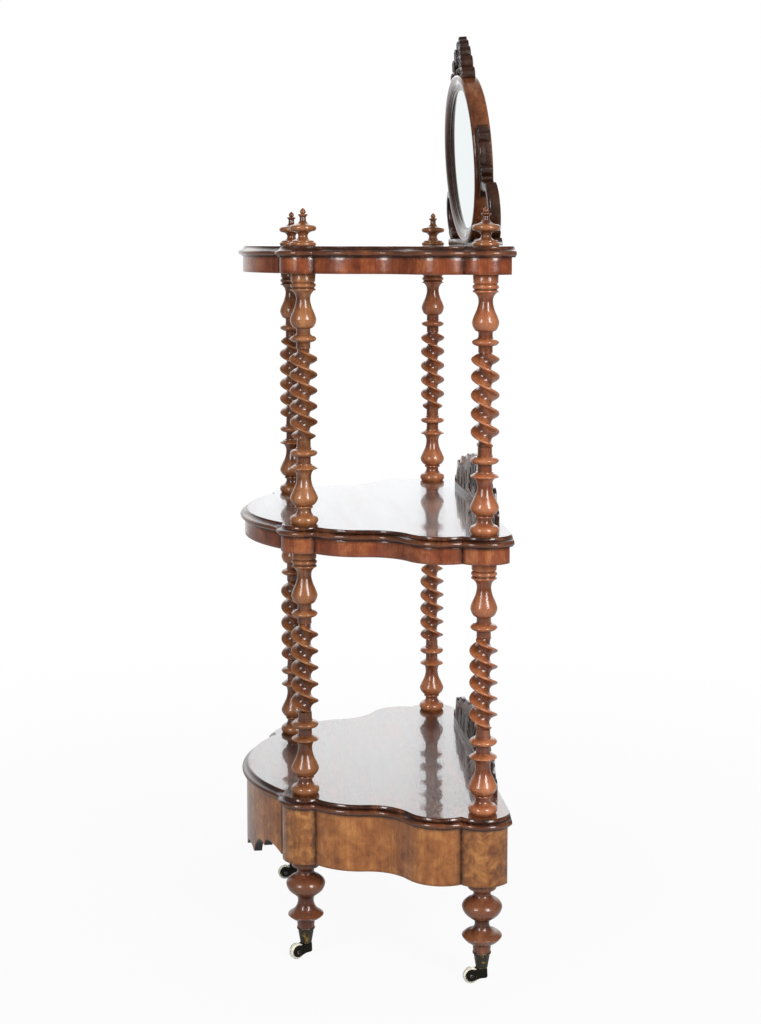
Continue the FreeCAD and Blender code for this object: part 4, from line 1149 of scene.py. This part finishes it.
def stage_floor():
    """White studio paper, shown to the camera and the polish as nearly plain white: the
    stand's shadow stays faint, and the paper fades into the backdrop with no line."""
    bpy.ops.mesh.primitive_plane_add(size=FLOOR_SIZE)
    floor = bpy.context.object
    floor.name = "studio_floor"
    material, tree, shader, where = new_material("studio_paper")
    wire(tree, shader, Base_Color=colour(0.5), Roughness=0.9, Specular_IOR_Level=0)
    glossy = node(tree, "LightPath", "Is Glossy Ray")
    seen = node(tree, "LightPath", "Is Camera Ray")
    reflected = node(tree, "Math", "Value", glossy, 0.3, operation="MULTIPLY")
    away = node(tree, "VectorMath", "Value", where, operation="LENGTH")
    fading = node(tree, "MapRange", "Result", Value=away, From_Min=0.3, From_Max=1.9,
                  To_Min=0.94, To_Max=1)
    share = node(tree, "Math", "Value", seen, fading, reflected, operation="MULTIPLY_ADD")
    white = node(tree, "Emission", "Emission", Color=colour(1), Strength=1)
    paper = node(tree, "MixShader", "Shader", share, shader.outputs["BSDF"], white)
    wire(tree, found(tree, "OUTPUT_MATERIAL"), Surface=paper)
    floor.data.materials.append(material)


def held(name, data):
    """An object in the scene that holds a lamp's or a camera's data."""
    holder = bpy.data.objects.new(name, data)
    bpy.context.scene.collection.objects.link(holder)
    return holder


def lamp(name, place_at, target, size, power, tint=(1, 1, 1)):
    """Rectangular soft lamp that lights the stand and isn't seen itself."""
    light = bpy.data.lights.new(name, "AREA")
    light.color = tint
    light.shape = "RECTANGLE"
    light.size, light.size_y = size
    light.energy = power
    holder = held(name, light)
    holder.location = place_at
    holder.rotation_euler = (Vector(target) - holder.location).to_track_quat("-Z", "Y").to_euler()
    holder.visible_camera = False


def studio_world():
    """White where the camera sees past the floor. For the light and the polish it is a
    white backdrop beyond the stand, brighter as it rises, that falls off to a dim studio
    behind the camera."""
    world = bpy.data.worlds.new("studio")
    bpy.context.scene.world = world
    world.use_nodes = True
    tree = world.node_tree
    toward_ray = node(tree, "TexCoord", "Generated")
    across = node(tree, "SeparateXYZ", "X", Vector=toward_ray)
    height = node(tree, "SeparateXYZ", "Z", Vector=toward_ray)
    behind = node(tree, "MapRange", "Result", Value=across, From_Min=-0.92, From_Max=-0.6,
                  To_Min=1, To_Max=0)
    rising = node(tree, "MapRange", "Result", Value=height, From_Min=0.16, From_Max=0.3,
                  To_Min=0.74, To_Max=1.75)
    lit = node(tree, "Math", "Value", behind, rising, 0.2, operation="MULTIPLY_ADD")
    seen = node(tree, "LightPath", "Is Camera Ray")
    strength = node(tree, "Mix", "Result", Factor=seen, A=lit, B=1)
    wire(tree, found(tree, "BACKGROUND"), Color=colour(1), Strength=strength)


CAMERA_AT = (2.738, -0.254, 1.117)
CAMERA_YAW, CAMERA_PITCH = 5.96, 5.65
LENS, SENSOR, SHIFT = 59.77, 36, -0.1


def camera():
    """Stands to the right of the stand, a little in front, and looks slightly down."""
    yaw, pitch = math.radians(CAMERA_YAW), math.radians(CAMERA_PITCH)
    forward = Vector((-math.cos(yaw) * math.cos(pitch), math.sin(yaw) * math.cos(pitch),
                      -math.sin(pitch)))
    right = Vector((math.sin(yaw), math.cos(yaw), 0))
    up = right.cross(forward)
    data = bpy.data.cameras.new("camera")
    data.sensor_fit = "VERTICAL"
    data.sensor_height = SENSOR
    data.lens = LENS
    data.shift_y = SHIFT
    holder = held("camera", data)
    turn = Matrix((right, up, -forward)).transposed()
    holder.matrix_world = Matrix.Translation(CAMERA_AT) @ turn.to_4x4()
    bpy.context.scene.camera = holder


stage_floor()
studio_world()
MIDDLE = (0, 0, 0.7)
SOFTBOX = (0.8, 1.8)
lamp("left_softbox", (2.5, -2.3, 2), MIDDLE, SOFTBOX, 66)
lamp("right_softbox", (2.6, 1.5, 2), MIDDLE, SOFTBOX, 84)
lamp("backdrop_wash", (-2.6, 0.63, 1.25), (0, 0.43, 1), (1.5, 1.7), 6.4, (0.9, 0.95, 1))
camera()
bpy.context.scene.view_settings.view_transform = "Standard"
